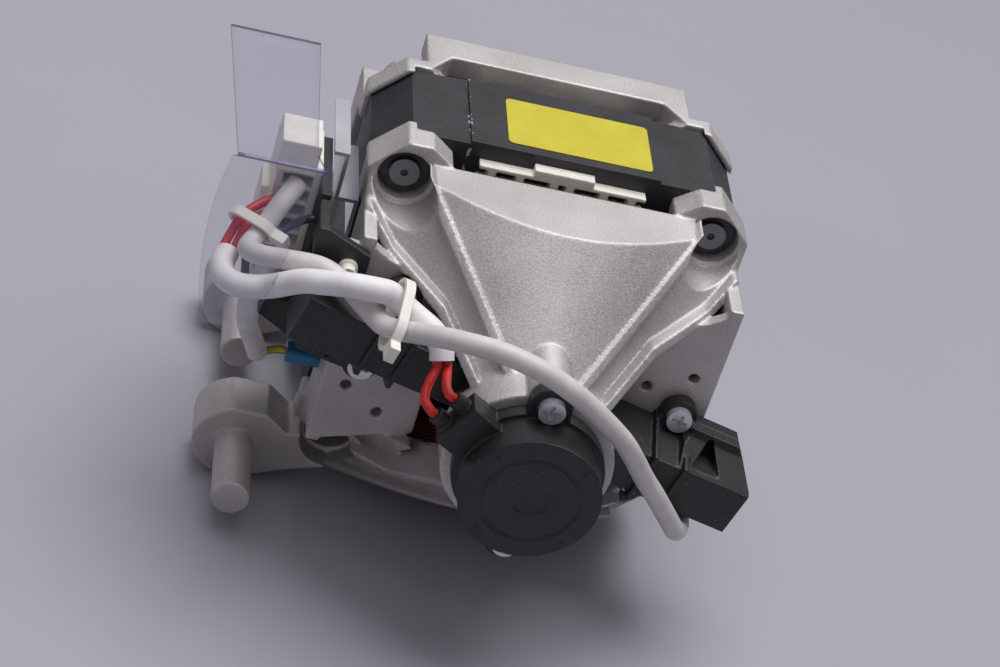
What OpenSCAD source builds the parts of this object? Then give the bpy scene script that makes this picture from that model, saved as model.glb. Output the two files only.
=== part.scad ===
// Universal motor of a washing machine, seen along its shaft.
// X to the right, Y along the shaft towards the pulley, Z up, square to the stack's top.
// The origin is the centre of the shaft's end face beyond the pulley.

/* [Stator] */
// Width of the square lamination stack
core_w = 111; // [108:0.5:114]
// Length of the lamination stack along the shaft
core_len = 35.5; // [30:0.5:45]
// Corner chamfer of the stack, along one side
core_chamfer = 10; // [8:0.5:11]
// Width of the raised pads on the stack's top and bottom
pad_w = 57; // [45:1:65]
// Height of the raised pads
pad_h = 1; // [0.5:0.1:1.5]
// Bore between the pole faces
bore_d = 63; // [61:0.5:64]
// Width of each pole's neck
pole_w = 34; // [30:0.5:36]
// Thickness of each pole shoe
shoe_t = 5; // [4:0.5:6]
// Half angle of each pole shoe
shoe_angle = 58; // [50:1:62]
// Width of the space for the windings
window_w = 82; // [80:0.5:84]
// Height of the space for the windings
window_h = 84; // [83:0.5:86]
// Distance of each through bolt from the shaft, along X and along Z
bolt_reach = 46; // [45:0.25:47]
// Diameter of the through bolts
bolt_d = 5; // [4:0.5:6]

/* [Windings] */
// How far the field coils reach past each end of the stack
coil_over = 14; // [10:0.5:16]
// Outer width of a field coil
coil_w = 58; // [54:0.5:58]
// Depth of the white end insulators
insulator_depth = 4; // [3:0.1:6]
// Height of the insulator's ledge above the shaft
insulator_top = 51.5; // [50.5:0.25:52.5]

/* [Rotor] */
// Air gap between rotor and poles
air_gap = 0.5; // [0.3:0.1:1]
// Number of rotor slots
rotor_slots = 24; // [12:1:28]
// Diameter of the commutator
commutator_d = 34; // [32:0.5:36]
// Length of the commutator
commutator_len = 22; // [18:0.5:23]
// Number of commutator bars
commutator_bars = 24; // [12:1:36]
// Diameter of the shaft through the rotor
shaft_d = 15; // [13:0.5:16]
// Diameter of the plain shaft end beyond the pulley
stub_d = 10; // [8:0.5:12]
// Length of the plain shaft end beyond the pulley
stub_len = 6; // [4:0.5:12]
// Distance from the stack to the shaft's end on the pulley side
drive_reach = 70; // [68:0.5:80]

/* [Pulley] */
// Diameter over the ribs of the pulley
pulley_d = 21; // [19:0.5:26]
// Number of grooves in the pulley
pulley_grooves = 7; // [4:1:7]
// Pitch of the grooves
groove_pitch = 2.34; // [2:0.02:2.5]
// Depth of the grooves
groove_depth = 2; // [1.2:0.1:2.2]

/* [Bearings] */
// Outer diameter of the bearing on the tacho side
tacho_bearing_od = 32; // [28:0.5:34]
// Bore of the bearing on the tacho side
tacho_bearing_id = 12; // [10:0.5:13]
// Width of the bearing on the tacho side
tacho_bearing_w = 10; // [8:0.5:10.5]
// Outer diameter of the bearing on the pulley side
drive_bearing_od = 40; // [36:0.5:42]
// Bore of the bearing on the pulley side
drive_bearing_id = 17; // [16:0.5:18]
// Width of the bearing on the pulley side
drive_bearing_w = 12; // [10:0.5:12.5]
// Thickness of the bearing races
race_t = 2.6; // [2:0.1:3]

/* [Tacho end shield] */
// Depth of the shield from the stack to the hub's face
hub_depth = 72; // [70:0.5:75]
// Diameter of the hub
hub_d = 49; // [46:0.5:52]
// Depth at which the cone leaves the hub
cone_depth = 60.5; // [58:0.5:63]
// Wall thickness of the casting
wall = 4; // [3:0.25:4.5]
// Height of the shield's flat top above the shaft
roof_z = 52; // [50:0.5:52.5]
// Gap between the shield's flat walls and the stack
vent_gap = 9; // [8:0.25:10]
// Depth of the plates that carry the brush holders
plate_depth = 33; // [32:0.5:35]
// Half width of the shield over its side walls
side_x = 56; // [55.5:0.25:57]
// Half height and half width of the shields over their corner ears
ear_z = 57; // [56.5:0.25:58]
// Floor of the bolt pockets in front of the stack
pocket_floor = 4; // [3:0.25:5]
// Diameter of the bolt pockets
pocket_d = 15.5; // [15:0.25:16]
// How far the ears reach over the stack's corners
ear_lap = 3.5; // [2:0.5:6]

/* [Drive end shield] */
// Distance from the stack to the back of the rim
rim_depth = 21.5; // [20:0.5:23]
// Thickness of the rim along the shaft
rim_t = 12; // [9:0.5:12.5]
// Height of the rim's bars
rim_bar = 7; // [5:0.5:8]
// Outer diameter of the bearing hub
drive_hub_d = 50; // [47:0.5:54]
// Distance from the stack to the bearing on the pulley side
drive_bearing_depth = 22; // [20:0.25:23]
// Thickness of the shoulder that holds the bearing
shoulder_t = 4; // [3:0.25:6]

/* [Support arms] */
// Diameter of the support pins
pin_d = 11.5; // [10:0.25:13]
// Length of the support pins
pin_len = 26.5; // [20:0.5:30]
// Diameter of the bosses that carry the pins
boss_d = 25; // [22:0.5:26]
// Thickness of the bosses
boss_t = 17; // [14:0.5:20]
// Distance of the pins to the left of the shaft
pin_x = 74; // [72:0.5:78]
// Distance of the pins below the shaft
pin_z = 53; // [51:0.5:55]
// Depth of the front boss's face in front of the stack
front_boss_depth = 17.5; // [16:0.5:20]
// Distance from the stack to the rear boss's face
rear_boss_depth = 20; // [18:0.5:24]

/* [Tacho cap] */
// Diameter of the cap
cap_d = 40; // [36:0.5:42]
// Depth of the cap from the hub to its face
cap_len = 15.5; // [13:0.5:18]
// Thickness of the cap's flange
flange_t = 4.5; // [3:0.25:5]
// Diameter of the cap's flange
flange_d = 43; // [43:0.5:46]
// Distance of the cap screws from the shaft
cap_screw_r = 24; // [24:0.25:26]
// Angle of the cap's terminal block, from the right over the top
terminal_angle = 149; // [140:1:160]

/* [Brush gear] */
// Slope of the brush line, down to the right
brush_tilt = 14; // [10:0.5:16]
// Width of a carbon brush across the shaft
brush_t = 5; // [4:0.25:6]
// Width of a carbon brush along the shaft
brush_w = 12.5; // [10:0.5:13]
// Length of a new carbon brush
brush_len = 32; // [26:0.5:34]
// Way that a brush can be pushed back against its spring
brush_travel = 8; // [4:0.5:9]
// Depth of the brush line in front of the stack
brush_depth = 42.5; // [42:0.25:43.5]
// Half width of the holder's inner part
holder_neck = 8.5; // [7:0.25:9]
// Half width of the holder's outer part
holder_half = 11; // [10:0.25:11]
// Reach of the holder's outer part on its sloped side
holder_top = 14; // [12:0.25:14.5]
// Distance of the holder's outer end from the shaft
holder_end = 72.5; // [71:0.5:75]
// Distance of the holder's lugs from the shaft
lug_along = 45.5; // [44:0.5:47]
// Distance of the holder's lugs from the brush line
lug_across = 12.9; // [12.5:0.1:14]

/* [Connector] */
// Pitch of the connector's ways
way_pitch = 5; // [4.5:0.1:5]
// Number of ways
ways = 7; // [5:1:7]
// Width of the connector
connector_w = 13; // [11:0.5:14]
// Depth of the connector
connector_depth = 22; // [18:0.5:24]
// Height of the connector's top above the shaft
connector_top = 54; // [53:0.25:56]
// Distance of the connector's inner side to the left of the shaft
connector_x = 69; // [68.5:0.25:70]
// Thickness of the clear drip cover
cover_t = 0.8; // [0.5:0.1:1.2]

/* [Hidden] */
$fn = 64;

// Clearances: a press or screw fit, a seat between flat pieces, and room round a loose piece
fit = 0.02;
seat = 0.3;
play = 0.6;
// Overshoot of a cut past the surface that it breaks through
over = 1;

half = core_w / 2;
shaft_tip_y = core_len + drive_reach;
core_mid_y = core_len / 2;

// The shaft line runs along Y, and every depth below is measured from the stack's tacho-side face
module from_stack() {
    translate([0, -shaft_tip_y, 0]) children();
}

// A front-view outline (X, Z) extruded along the shaft from y0 to y1
module front(y0, y1) {
    translate([0, y1, 0]) rotate([90, 0, 0]) linear_extrude(y1 - y0) children();
}

// A round bar along the shaft direction through a front-view point
module rod(y0, y1, d, at = [0, 0]) {
    front(y0, y1) translate(at) circle(d = d);
}

// A profile (radius, Y) turned about the shaft line
module turned() {
    rotate([-90, 0, 0]) rotate_extrude() children();
}

module both_sides() {
    children();
    mirror([1, 0, 0]) children();
}

module top_and_bottom() {
    children();
    mirror([0, 0, 1]) children();
}

module four_corners() {
    both_sides() top_and_bottom() children();
}

// The same in an outline, where the second axis is Z
module outline_both_sides() {
    children();
    mirror([1, 0]) children();
}

module rounded(w, h, r) {
    square([w - 2 * r, h], center = true);
    square([w, h - 2 * r], center = true);
    for (x = [-1, 1], y = [-1, 1]) translate([x * (w / 2 - r), y * (h / 2 - r)]) circle(r);
}

// A straight strip of a given width between two outline points, with round ends
module strip(a, b, w) {
    d = b - a;
    translate(a) rotate(atan2(d[1], d[0])) translate([0, -w / 2]) square([norm(d), w]);
    translate(a) circle(d = w);
    translate(b) circle(d = w);
}

// Turns +Z to a direction
module aimed(p, d) {
    translate(p) rotate([0, acos(d[2] / norm(d)), atan2(d[1], d[0])]) children();
}

// Directions along a route
function unit(v) = v / norm(v);
function heading(p, i) = unit(p[min(i + 1, len(p) - 1)] - p[max(i - 1, 0)]);

// A bent strip of a given width along outline points, cut square at its ends
module band(p, w) {
    last = len(p) - 1;
    side = [for (i = [0:last]) let (t = heading(p, i)) w / 2 * [-t[1], t[0]]];
    polygon(concat([for (i = [0:last]) p[i] + side[i]], [for (i = [last:-1:0]) p[i] - side[i]]));
}

// Tubes swept along a route: one ring of points at each point of the route
function ring(c, t, ref, r, n) =
    let (a = unit(cross(t, ref)), b = cross(t, a))
    [for (k = [0:n - 1]) c + r * (cos(360 * k / n) * a + sin(360 * k / n) * b)];

module swept(p, d, sides, ref) {
    n = sides;
    m = len(p);
    points = [for (i = [0:m - 1]) each ring(p[i], heading(p, i), ref, d / 2, n)];
    walls = [
        for (i = [0:m - 2], k = [0:n - 1])
            let (a = i * n + k, b = i * n + (k + 1) % n)
            each [[a, a + n, b], [b, a + n, b + n]]
    ];
    start = [for (k = [1:n - 2]) [0, k, k + 1]];
    end = [for (k = [1:n - 2]) [(m - 1) * n, (m - 1) * n + k + 1, (m - 1) * n + k]];
    polyhedron(points, concat(walls, start, end));
}

// Stator stack: chamfered square with raised pads, two poles and the space for the windings
shoe_r = bore_d / 2 + shoe_t;
window_r = 12;
bolt_hole_d = bolt_d + play;

module core_outline() {
    c = half - core_chamfer;
    top = half + pad_h;
    edge = pad_w / 2;
    polygon([[c, half], [half, c], [half, -c], [c, -half], [edge, -half], [edge, -top],
        [-edge, -top], [-edge, -half], [-c, -half], [-half, -c], [-half, c], [-c, half],
        [-edge, half], [-edge, top], [edge, top], [edge, half]]);
}

module shoe_sector() {
    reach = 2 * shoe_r;
    polygon([[0, 0], reach * [sin(shoe_angle), cos(shoe_angle)], reach * [sin(shoe_angle), 1],
        reach * [-sin(shoe_angle), 1], reach * [-sin(shoe_angle), cos(shoe_angle)]]);
}

module poles() {
    difference() {
        union() {
            square([pole_w, window_h + over], center = true);
            for (side = [0, 1]) mirror([0, side]) intersection() {
                circle(shoe_r);
                shoe_sector();
            }
        }
        circle(d = bore_d);
    }
}

module stator_core() {
    color("#2d2c30") from_stack() front(0, core_len) difference() {
        core_outline();
        difference() {
            rounded(window_w, window_h, window_r);
            poles();
        }
        for (x = [-1, 1], z = [-1, 1]) translate(bolt_reach * [x, z]) circle(d = bolt_hole_d);
    }
}

// Field coils: racetrack bundles laid round the pole necks
coil_z = sqrt(pow(shoe_r, 2) - pow(pole_w / 2, 2)) + seat;
coil_h = window_h / 2 - coil_z - seat;
coil_corner_r = 10;
coil_end_gap = 3;

module field_coil() {
    translate([0, core_mid_y, coil_z]) linear_extrude(coil_h) difference() {
        rounded(coil_w, core_len + 2 * coil_over, coil_corner_r);
        rounded(pole_w + 2 * seat, core_len + 2 * coil_end_gap, coil_end_gap);
    }
}

module field_coil_upper() {
    color("#8c4a2b") from_stack() field_coil();
}

module field_coil_lower() {
    color("#8c4a2b") from_stack() mirror([0, 0, 1]) field_coil();
}

// White end insulators: a sill on the stack, columns and a thin stepped ledge over them
insulator_w = 50;
insulator_sill_t = 2;
insulator_sill_z = 47;
insulator_step_w = 18;
insulator_step_h = 2.2;
insulator_ledge_t = 1.2;
column_t = 2.6;
column_x = [2.4, 12.6, 21];
insulator_foot_z = window_h / 2 + seat;

module coil_insulator() {
    ledge_z = insulator_top - insulator_ledge_t;
    step_t = insulator_ledge_t + insulator_step_h;
    front(-insulator_sill_t, 0) translate([-insulator_w / 2, insulator_foot_z])
        square([insulator_w, insulator_sill_z - insulator_foot_z]);
    front(-insulator_depth, 0) {
        translate([-insulator_w / 2, ledge_z]) square([insulator_w, insulator_ledge_t]);
        translate([-insulator_step_w / 2, ledge_z]) square([insulator_step_w, step_t]);
        for (x = column_x, side = [-1, 1]) translate([side * x - column_t / 2, insulator_foot_z])
            square([column_t, insulator_top - insulator_foot_z]);
    }
}

module at_drive_end() {
    translate([0, core_len, 0]) mirror([0, 1, 0]) children();
}

module coil_insulator_tacho_upper() {
    color("#eeeae2") from_stack() coil_insulator();
}

module coil_insulator_tacho_lower() {
    color("#eeeae2") from_stack() mirror([0, 0, 1]) coil_insulator();
}

module coil_insulator_drive_upper() {
    color("#eeeae2") from_stack() at_drive_end() coil_insulator();
}

module coil_insulator_drive_lower() {
    color("#eeeae2") from_stack() at_drive_end() mirror([0, 0, 1]) coil_insulator();
}

// Corner ears of both shields: a bevelled block round each bolt, with a lip on the stack's chamfer
ear_t = vent_gap + play;
drive_ear_t = 4.5;
ear_bevel = ear_z - core_chamfer;
ear_shoulder = 40;
ear_foot = 33;
ear_inner = [36, 42];
ear_low = [46, 34];

module ear_outline() {
    polygon([[ear_foot, roof_z - wall], [ear_foot, roof_z], [ear_shoulder, ear_z], [ear_bevel, ear_z],
        [ear_z, ear_bevel], [ear_z, ear_inner[0]], ear_low, ear_inner]);
}

// The lip stands off the chamfer by a seat gap
module lip_outline() {
    line = core_w - core_chamfer + seat * sqrt(2);
    polygon([[ear_bevel, ear_z], [ear_z, ear_bevel], [ear_z, line - ear_z], [line - ear_z, ear_z]]);
}

module ear(depth) {
    front(-depth, 0) ear_outline();
    front(-over, ear_lap) lip_outline();
}

// Tacho-side end shield. The cone rises at 45 degrees from the hub to the flat roof.
apex = cone_depth + hub_d / 2;
cone_tip = 4;
cone_skirt = 20;
cone_h = apex + cone_skirt;
rib_w = 3;
rib_rise = 1.5;
channel_drop = 4;
leg_skin = 9;
scoop_d = 18;
pocket_wall = 3;
rib_out = [40.5, roof_z];
rib_in = [10.2, 21.7];
leg_out = [side_x - rib_w / 2, 38.5];
leg_knee = [47, 32.5];
leg_mid = [31, 27];
leg_in = [17.5, 14.5];
strut_out = [-side_x + rib_w / 2, -41.5];
strut_mid = [-30, -37];
strut_in = [-16.5, -23];
strut_low_out = [-bolt_reach + rib_w / 2, -ear_z];
strut_low_in = [-9, -39];
plate_inner_x = 26;
plate_foot_out = [-side_x, -34.5];
plate_foot_in = [-plate_inner_x, -25.5];
plate_front = -plate_depth;
plate_back = -plate_depth + wall;
window_holes = [[-48.9, -12.7], [-38, -20.3], [48.7, 13], [36, 7.3]];
window_hole_d = 3.2;
bearing_bore_d = tacho_bearing_od + 2 * fit;
hub_lip = 2;
washer_t = 0.6;
hub_wall = 2;
hub_back = -hub_depth + hub_lip + washer_t + tacho_bearing_w + hub_wall;
hub_ledge = 4;
cap_boss_d = 12.5;
cap_boss_back = -54;
cap_screw_bite = 9;
cap_screw_d = 4;
pin_lug_at = [-58.5, 29.5];
pin_lug_d = 11;
clip_d = 4;
clip_reach = 2;

// Everything behind the cone's outer surface, moved forward by a given amount
module behind_cone(ahead) {
    translate([0, -apex - ahead + cone_tip, 0]) rotate([-90, 0, 0])
        cylinder(h = cone_h, r1 = cone_tip, r2 = cone_h + cone_tip);
}

module cone_skin(ahead, depth) {
    difference() {
        behind_cone(ahead);
        behind_cone(ahead - depth);
    }
}

module on_cone(ahead, depth) {
    intersection() {
        cone_skin(ahead, depth);
        front(-apex, -pocket_floor) children();
    }
}

module leg_outline() {
    polygon([rib_out, [bolt_reach, roof_z], [side_x, bolt_reach], leg_out, leg_knee, leg_mid,
        leg_in, rib_in]);
}

module strut_outline() {
    polygon([strut_out, strut_mid, strut_in, strut_low_in, strut_low_out]);
}

// The hollow between a plate's foot and the strut below it
module hollow_outline() {
    polygon([plate_foot_out, plate_foot_in, strut_mid, strut_out]);
}

module plate_outline() {
    polygon([[plate_inner_x, leg_in[1]], leg_mid, leg_knee, [side_x, leg_out[1]],
        [side_x, plate_foot_out[1]], [plate_inner_x, plate_foot_in[1]]]);
}

module shield_panels() {
    on_cone(0, wall * sqrt(2)) outline_both_sides()
        polygon([[0, roof_z], rib_out, rib_in, [0, rib_in[1]]]);
    on_cone(-channel_drop, wall * sqrt(2)) outline_both_sides() leg_outline();
    on_cone(-channel_drop, wall * sqrt(2)) outline_both_sides() strut_outline();
    on_cone(rib_rise, leg_skin) outline_both_sides() strip(rib_out, rib_in, rib_w);
    on_cone(rib_rise, 2 * leg_skin) outline_both_sides() {
        strip(leg_out, leg_knee, rib_w);
        strip(leg_knee, leg_mid, rib_w);
        strip(leg_mid, leg_in, rib_w);
    }
    on_cone(-2 * channel_drop, wall * sqrt(2)) outline_both_sides() hollow_outline();
    on_cone(rib_rise, 2 * leg_skin) outline_both_sides() band([strut_out, strut_mid, strut_in], rib_w);
    on_cone(rib_rise, leg_skin) outline_both_sides() strip(strut_low_out, strut_low_in, rib_w);
}

module shield_walls() {
    intersection() {
        behind_cone(0);
        front(-apex, -vent_gap) translate([-bolt_reach, roof_z - wall]) square([2 * bolt_reach, wall]);
    }
    both_sides() {
        front(plate_front, plate_back) plate_outline();
        front(plate_front, -vent_gap) {
            translate([side_x - wall, plate_foot_out[1]]) square([wall, leg_out[1] - plate_foot_out[1]]);
            mirror([1, 0]) polygon([plate_foot_out, plate_foot_in, plate_foot_in + [0, wall],
                plate_foot_out + [0, wall]]);
        }
        intersection() {
            behind_cone(0);
            front(-apex, -vent_gap) translate([side_x - wall, strut_out[1]])
                square([wall, plate_foot_out[1] - strut_out[1] + over]);
        }
    }
    rod(plate_front, plate_back, pin_lug_d, pin_lug_at);
    front(plate_front, plate_back)
        strip(pin_lug_at, [-side_x + wall, pin_lug_at[1] - wall], pin_lug_d - wall);
}

// Round walls of the bolt pockets, from the legs' floor back to the ears
module pocket_walls() {
    four_corners() intersection() {
        behind_cone(-channel_drop);
        front(-apex, -ear_t + over) intersection() {
            translate(bolt_reach * [1, 1]) circle(d = scoop_d + 2 * pocket_wall);
            square([side_x, roof_z]);
        }
    }
}

// Arm outline from a shield's lower left corner to the boss of its support pin
arm_top = -42;
arm_notch = -46;
arm_low = -56;
arm_gap = 3;
arm_shoulder = 8;

module arm_outline() {
    boss_at = [-pin_x, -pin_z];
    translate(boss_at) circle(d = boss_d);
    polygon([boss_at + [-arm_gap, boss_d / 2], boss_at + [arm_shoulder, boss_d / 2],
        [-side_x - arm_gap, arm_notch], [-bolt_reach, arm_top], [-bolt_reach, arm_low],
        [-side_x, arm_low - arm_gap], boss_at + [arm_gap, -boss_d / 2]]);
}

module support_arm(face_y, thickness) {
    front(face_y, face_y + thickness) arm_outline();
    rod(face_y - pin_len, face_y + over, pin_d, [-pin_x, -pin_z]);
}

// Room in front of the plates for the brush holders and their guides
module brush_room() {
    for (turn = [0, 180]) rotate([0, brush_tilt + turn, 0]) front(-cone_depth + over, plate_front) {
        translate([0, -holder_neck - play]) square([holder_end, 2 * (holder_neck + play)]);
        translate([lug_along - lug_d / 2, -holder_half - play])
            square([holder_end, holder_half + holder_top + 2 * play]);
        for (side = [-1, 1]) strip([lug_along, side * lug_across], [lug_along, 0], lug_d + 2 * play);
    }
}

module tacho_end_shield() {
    color("#b9b6b8") from_stack() difference() {
        union() {
            shield_panels();
            shield_walls();
            rod(-hub_depth, hub_back, hub_d);
            for (side = [-1, 1]) rod(-hub_depth, cap_boss_back, cap_boss_d, [0, side * cap_screw_r]);
            four_corners() ear(ear_t);
            pocket_walls();
            support_arm(-front_boss_depth, boss_t);
        }
        brush_room();
        rod(-hub_depth + hub_lip, hub_back + over, bearing_bore_d);
        rod(-hub_depth - over, -hub_depth + hub_lip + over, tacho_bearing_od - 2 * hub_ledge);
        for (side = [-1, 1]) translate([0, 0, side * cap_screw_r])
            rod(-hub_depth - over, -hub_depth + cap_screw_bite, cap_screw_d);
        for (x = [-1, 1], z = [-1, 1]) {
            rod(-apex, -pocket_floor, pocket_d, bolt_reach * [x, z]);
            rod(-apex, -ear_t, scoop_d, bolt_reach * [x, z]);
            rod(-pocket_floor - over, over, bolt_hole_d, bolt_reach * [x, z]);
        }
        for (at = window_holes) rod(plate_front - over, plate_back + over, window_hole_d, at);
        at_brush_lugs() rod(plate_front - over, plate_back + over, lug_screw_d + 2 * fit);
        rod(plate_front - over, plate_back + clip_reach + over, clip_d, pin_lug_at);
    }
}

// Drive-side end shield: four raised bars on the ears, four spokes and the bearing hub
drive_bearing_y = core_len + drive_bearing_depth;
drive_hub_lip = 2;
drive_hub_front = drive_bearing_y - drive_hub_lip;
drive_hub_back = drive_bearing_y + drive_bearing_w + shoulder_t;
drive_ledge = 5;
rim_back = core_len + rim_depth;
rim_front = rim_back - rim_t;
rim_half = 41;
rim_window = 33;
ear_back = core_len + drive_ear_t;
bolt_boss_d = 12;
bolt_boss_t = 11.5;
boss_back = core_len + bolt_boss_t;
spoke_w = 15;
spoke_t = 6;
spoke_rib_t = 4;
spoke_root = drive_hub_d / 2 - drive_hub_lip;
bolt_bite = 11;

// One bar of the rim in plan (X, Y), with its two legs on the stack's face
module rim_plan() {
    polygon([[-ear_bevel, core_len], [-ear_bevel, ear_back], [-rim_half, ear_back], [-rim_half, rim_back],
        [rim_half, rim_back], [rim_half, ear_back], [ear_bevel, ear_back], [ear_bevel, core_len],
        [ear_shoulder, core_len], [rim_window, rim_front], [-rim_window, rim_front],
        [-ear_shoulder, core_len]]);
}

module spoke() {
    corner = bolt_reach * sqrt(2);
    rotate([0, -45, 0]) {
        translate([0, 0, -spoke_w / 2]) linear_extrude(spoke_w)
            polygon([[spoke_root, drive_hub_front], [corner, boss_back - spoke_t], [corner, boss_back],
                [spoke_root, drive_hub_front + spoke_t]]);
        translate([0, 0, -spoke_rib_t / 2]) linear_extrude(spoke_rib_t)
            polygon([[spoke_root, drive_hub_front], [corner, boss_back - over],
                [spoke_root, drive_hub_back - drive_hub_lip]]);
    }
}

module drive_end_shield() {
    rear_face = core_len + rear_boss_depth;
    color("#b3b0b2") from_stack() difference() {
        union() {
            for (turn = [0:90:270]) rotate([0, turn, 0]) translate([0, 0, ear_z - rim_bar])
                linear_extrude(rim_bar) rim_plan();
            four_corners() {
                spoke();
                at_drive_end() ear(drive_ear_t);
                rod(core_len, boss_back, bolt_boss_d, bolt_reach * [1, 1]);
            }
            rod(drive_hub_front, drive_hub_back, drive_hub_d);
            support_arm(rear_face, boss_t);
            front(ear_back - over, rear_face + over) intersection() {
                arm_outline();
                translate([-ear_z, -ear_z]) square(ear_z - ear_shoulder);
            }
        }
        rod(drive_hub_front - over, drive_bearing_y + drive_bearing_w, drive_bearing_od + 2 * fit);
        rod(drive_bearing_y, drive_hub_back + over, drive_bearing_od - 2 * drive_ledge);
        for (x = [-1, 1], z = [-1, 1])
            rod(core_len - over, core_len + bolt_bite + over, bolt_d + 2 * fit, bolt_reach * [x, z]);
    }
}

// Through bolts: black flanged heads with a raised, dimpled disc
bolt_flange_d = 14;
bolt_flange_t = 1.8;
bolt_disc_d = 8.8;
bolt_disc_t = 1.6;
bolt_dimple_d = 2.4;
bolt_dimple_t = 0.6;

module through_bolts() {
    flange_y = -pocket_floor - bolt_flange_t;
    disc_y = flange_y - bolt_disc_t;
    color("#26262a") from_stack() for (x = [-1, 1], z = [-1, 1]) difference() {
        union() {
            rod(flange_y, -pocket_floor, bolt_flange_d, bolt_reach * [x, z]);
            rod(disc_y, flange_y, bolt_disc_d, bolt_reach * [x, z]);
            rod(-pocket_floor, core_len + bolt_bite, bolt_d, bolt_reach * [x, z]);
        }
        rod(disc_y - over, disc_y + bolt_dimple_t, bolt_dimple_d, bolt_reach * [x, z]);
    }
}

// Sealed ball bearings: an outer race with its seals, and an inner race that turns with the shaft
seal_t = 0.8;
seal_inset = 0.4;
seal_gap = 0.15;
tacho_bearing_y = -hub_depth + hub_lip + washer_t;

module bearing_outer(y, od, id, w) {
    seal_r = id / 2 + race_t + seal_gap;
    race_r = od / 2 - race_t;
    turned() translate([0, y]) {
        translate([race_r, 0]) square([race_t, w]);
        for (at = [seal_inset, w - seal_inset - seal_t]) translate([seal_r, at])
            square([race_r - seal_r + over, seal_t]);
    }
}

module bearing_inner(y, id, w) {
    turned() translate([id / 2 + fit, y]) square([race_t - fit, w]);
}

module tacho_bearing_outer() {
    color("#a9abb0") from_stack()
        bearing_outer(tacho_bearing_y, tacho_bearing_od, tacho_bearing_id, tacho_bearing_w);
}

module tacho_bearing_inner() {
    color("#b9bbc0") from_stack() bearing_inner(tacho_bearing_y, tacho_bearing_id, tacho_bearing_w);
}

module drive_bearing_outer() {
    color("#a9abb0") from_stack()
        bearing_outer(drive_bearing_y, drive_bearing_od, drive_bearing_id, drive_bearing_w);
}

module drive_bearing_inner() {
    color("#b9bbc0") from_stack() bearing_inner(drive_bearing_y, drive_bearing_id, drive_bearing_w);
}

// Preload washer between the hub's lip and the tacho-side bearing
module bearing_wave_washer() {
    color("#8f9196") from_stack() front(-hub_depth + hub_lip, tacho_bearing_y) difference() {
        circle(d = tacho_bearing_od - over);
        circle(d = tacho_bearing_od - 2 * race_t);
    }
}

// Tacho cap: a moulded cup on a flange with two screw lugs and a terminal block
cap_face_y = -hub_depth - cap_len;
cap_skin = 2;
cap_flange_y = -hub_depth - flange_t;
cap_lug_d = 12;
cap_ring_d = 28.8;
cap_ring_w = 1.2;
cap_mark_depth = 0.4;
cap_disc_d = 10;
cap_pip_r = 17.4;
cap_pip_d = 1.2;
block_half = 7.5;
block_root_r = (cap_d - cap_skin) / 2;
block_end_r = 29;
block_rise = 4;
block_front = cap_flange_y - block_rise;
collar_end_r = 33;
collar_across = 3.65;
collar_d = 5;
collar_y = cap_flange_y + (flange_t - block_rise) / 2 + over;
lead_d = 2.7;

module at_terminals() {
    rotate([0, -terminal_angle, 0]) children();
}

module tacho_cap() {
    color("#232326") from_stack() difference() {
        union() {
            rod(cap_face_y, -hub_depth, cap_d);
            rod(cap_flange_y, -hub_depth, flange_d);
            for (side = [0, 1]) mirror([0, 0, side]) front(cap_flange_y, -hub_depth)
                strip([0, cap_screw_r], [0, cap_d / 2 - cap_skin], cap_lug_d);
            at_terminals() {
                front(block_front, -hub_depth) translate([block_root_r, -block_half])
                    square([block_end_r - block_root_r, 2 * block_half]);
                for (side = [-1, 1]) translate([block_end_r - over, collar_y, side * collar_across])
                    rotate([0, 90, 0]) cylinder(h = collar_end_r - block_end_r + over, d = collar_d);
            }
        }
        rod(cap_face_y + cap_skin, -hub_depth + over, cap_d - 2 * cap_skin);
        for (side = [-1, 1]) translate([0, 0, side * cap_screw_r])
            rod(cap_flange_y - over, -hub_depth + over, cap_screw_d + seat);
        front(cap_face_y - over, cap_face_y + cap_mark_depth) {
            difference() {
                circle(d = cap_ring_d);
                circle(d = cap_ring_d - 2 * cap_ring_w);
            }
            circle(d = cap_disc_d);
            for (k = [0:3]) rotate(45 + 90 * k) translate([cap_pip_r, 0]) circle(d = cap_pip_d);
        }
    }
}

// Tacho generator: a ring coil held in the cap round a magnet on the shaft's end
magnet_d = 18;
magnet_len = 8;
magnet_gap = 1;
magnet_seat_d = 8;
magnet_room = 1.5;
magnet_y = cap_face_y + cap_skin + magnet_room;

module tacho_coil() {
    color("#3a3330") from_stack() front(cap_face_y + cap_skin, magnet_y + magnet_len) difference() {
        circle(d = cap_d - 2 * cap_skin - 2 * fit);
        circle(d = magnet_d + 2 * magnet_gap);
    }
}

module tacho_magnet() {
    color("#4a4a50") from_stack() front(magnet_y, magnet_y + magnet_len) difference() {
        circle(d = magnet_d);
        circle(d = magnet_seat_d + 2 * fit);
    }
}

// Pan-head screw along the shaft direction: its seat, its length and a cross recess
recess_w = 0.62;
recess_t = 0.13;

module pan_screw(seat_y, len, d, head_d, head_t) {
    difference() {
        union() {
            rod(seat_y - head_t, seat_y, head_d);
            rod(seat_y, seat_y + len, d);
        }
        for (turn = [0, 90]) rotate([0, turn, 0]) front(seat_y - head_t - over, seat_y - head_t / 2)
            square(head_d * [recess_w, recess_t], center = true);
    }
}

screw_head_d = 7.6;
screw_head_t = 2.4;
cap_screw_len = 11;

module tacho_screws() {
    color("#c9ccd2") from_stack() for (side = [-1, 1]) translate([0, 0, side * cap_screw_r])
        pan_screw(cap_flange_y, cap_screw_len, cap_screw_d - 2 * fit, screw_head_d, screw_head_t);
}

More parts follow.
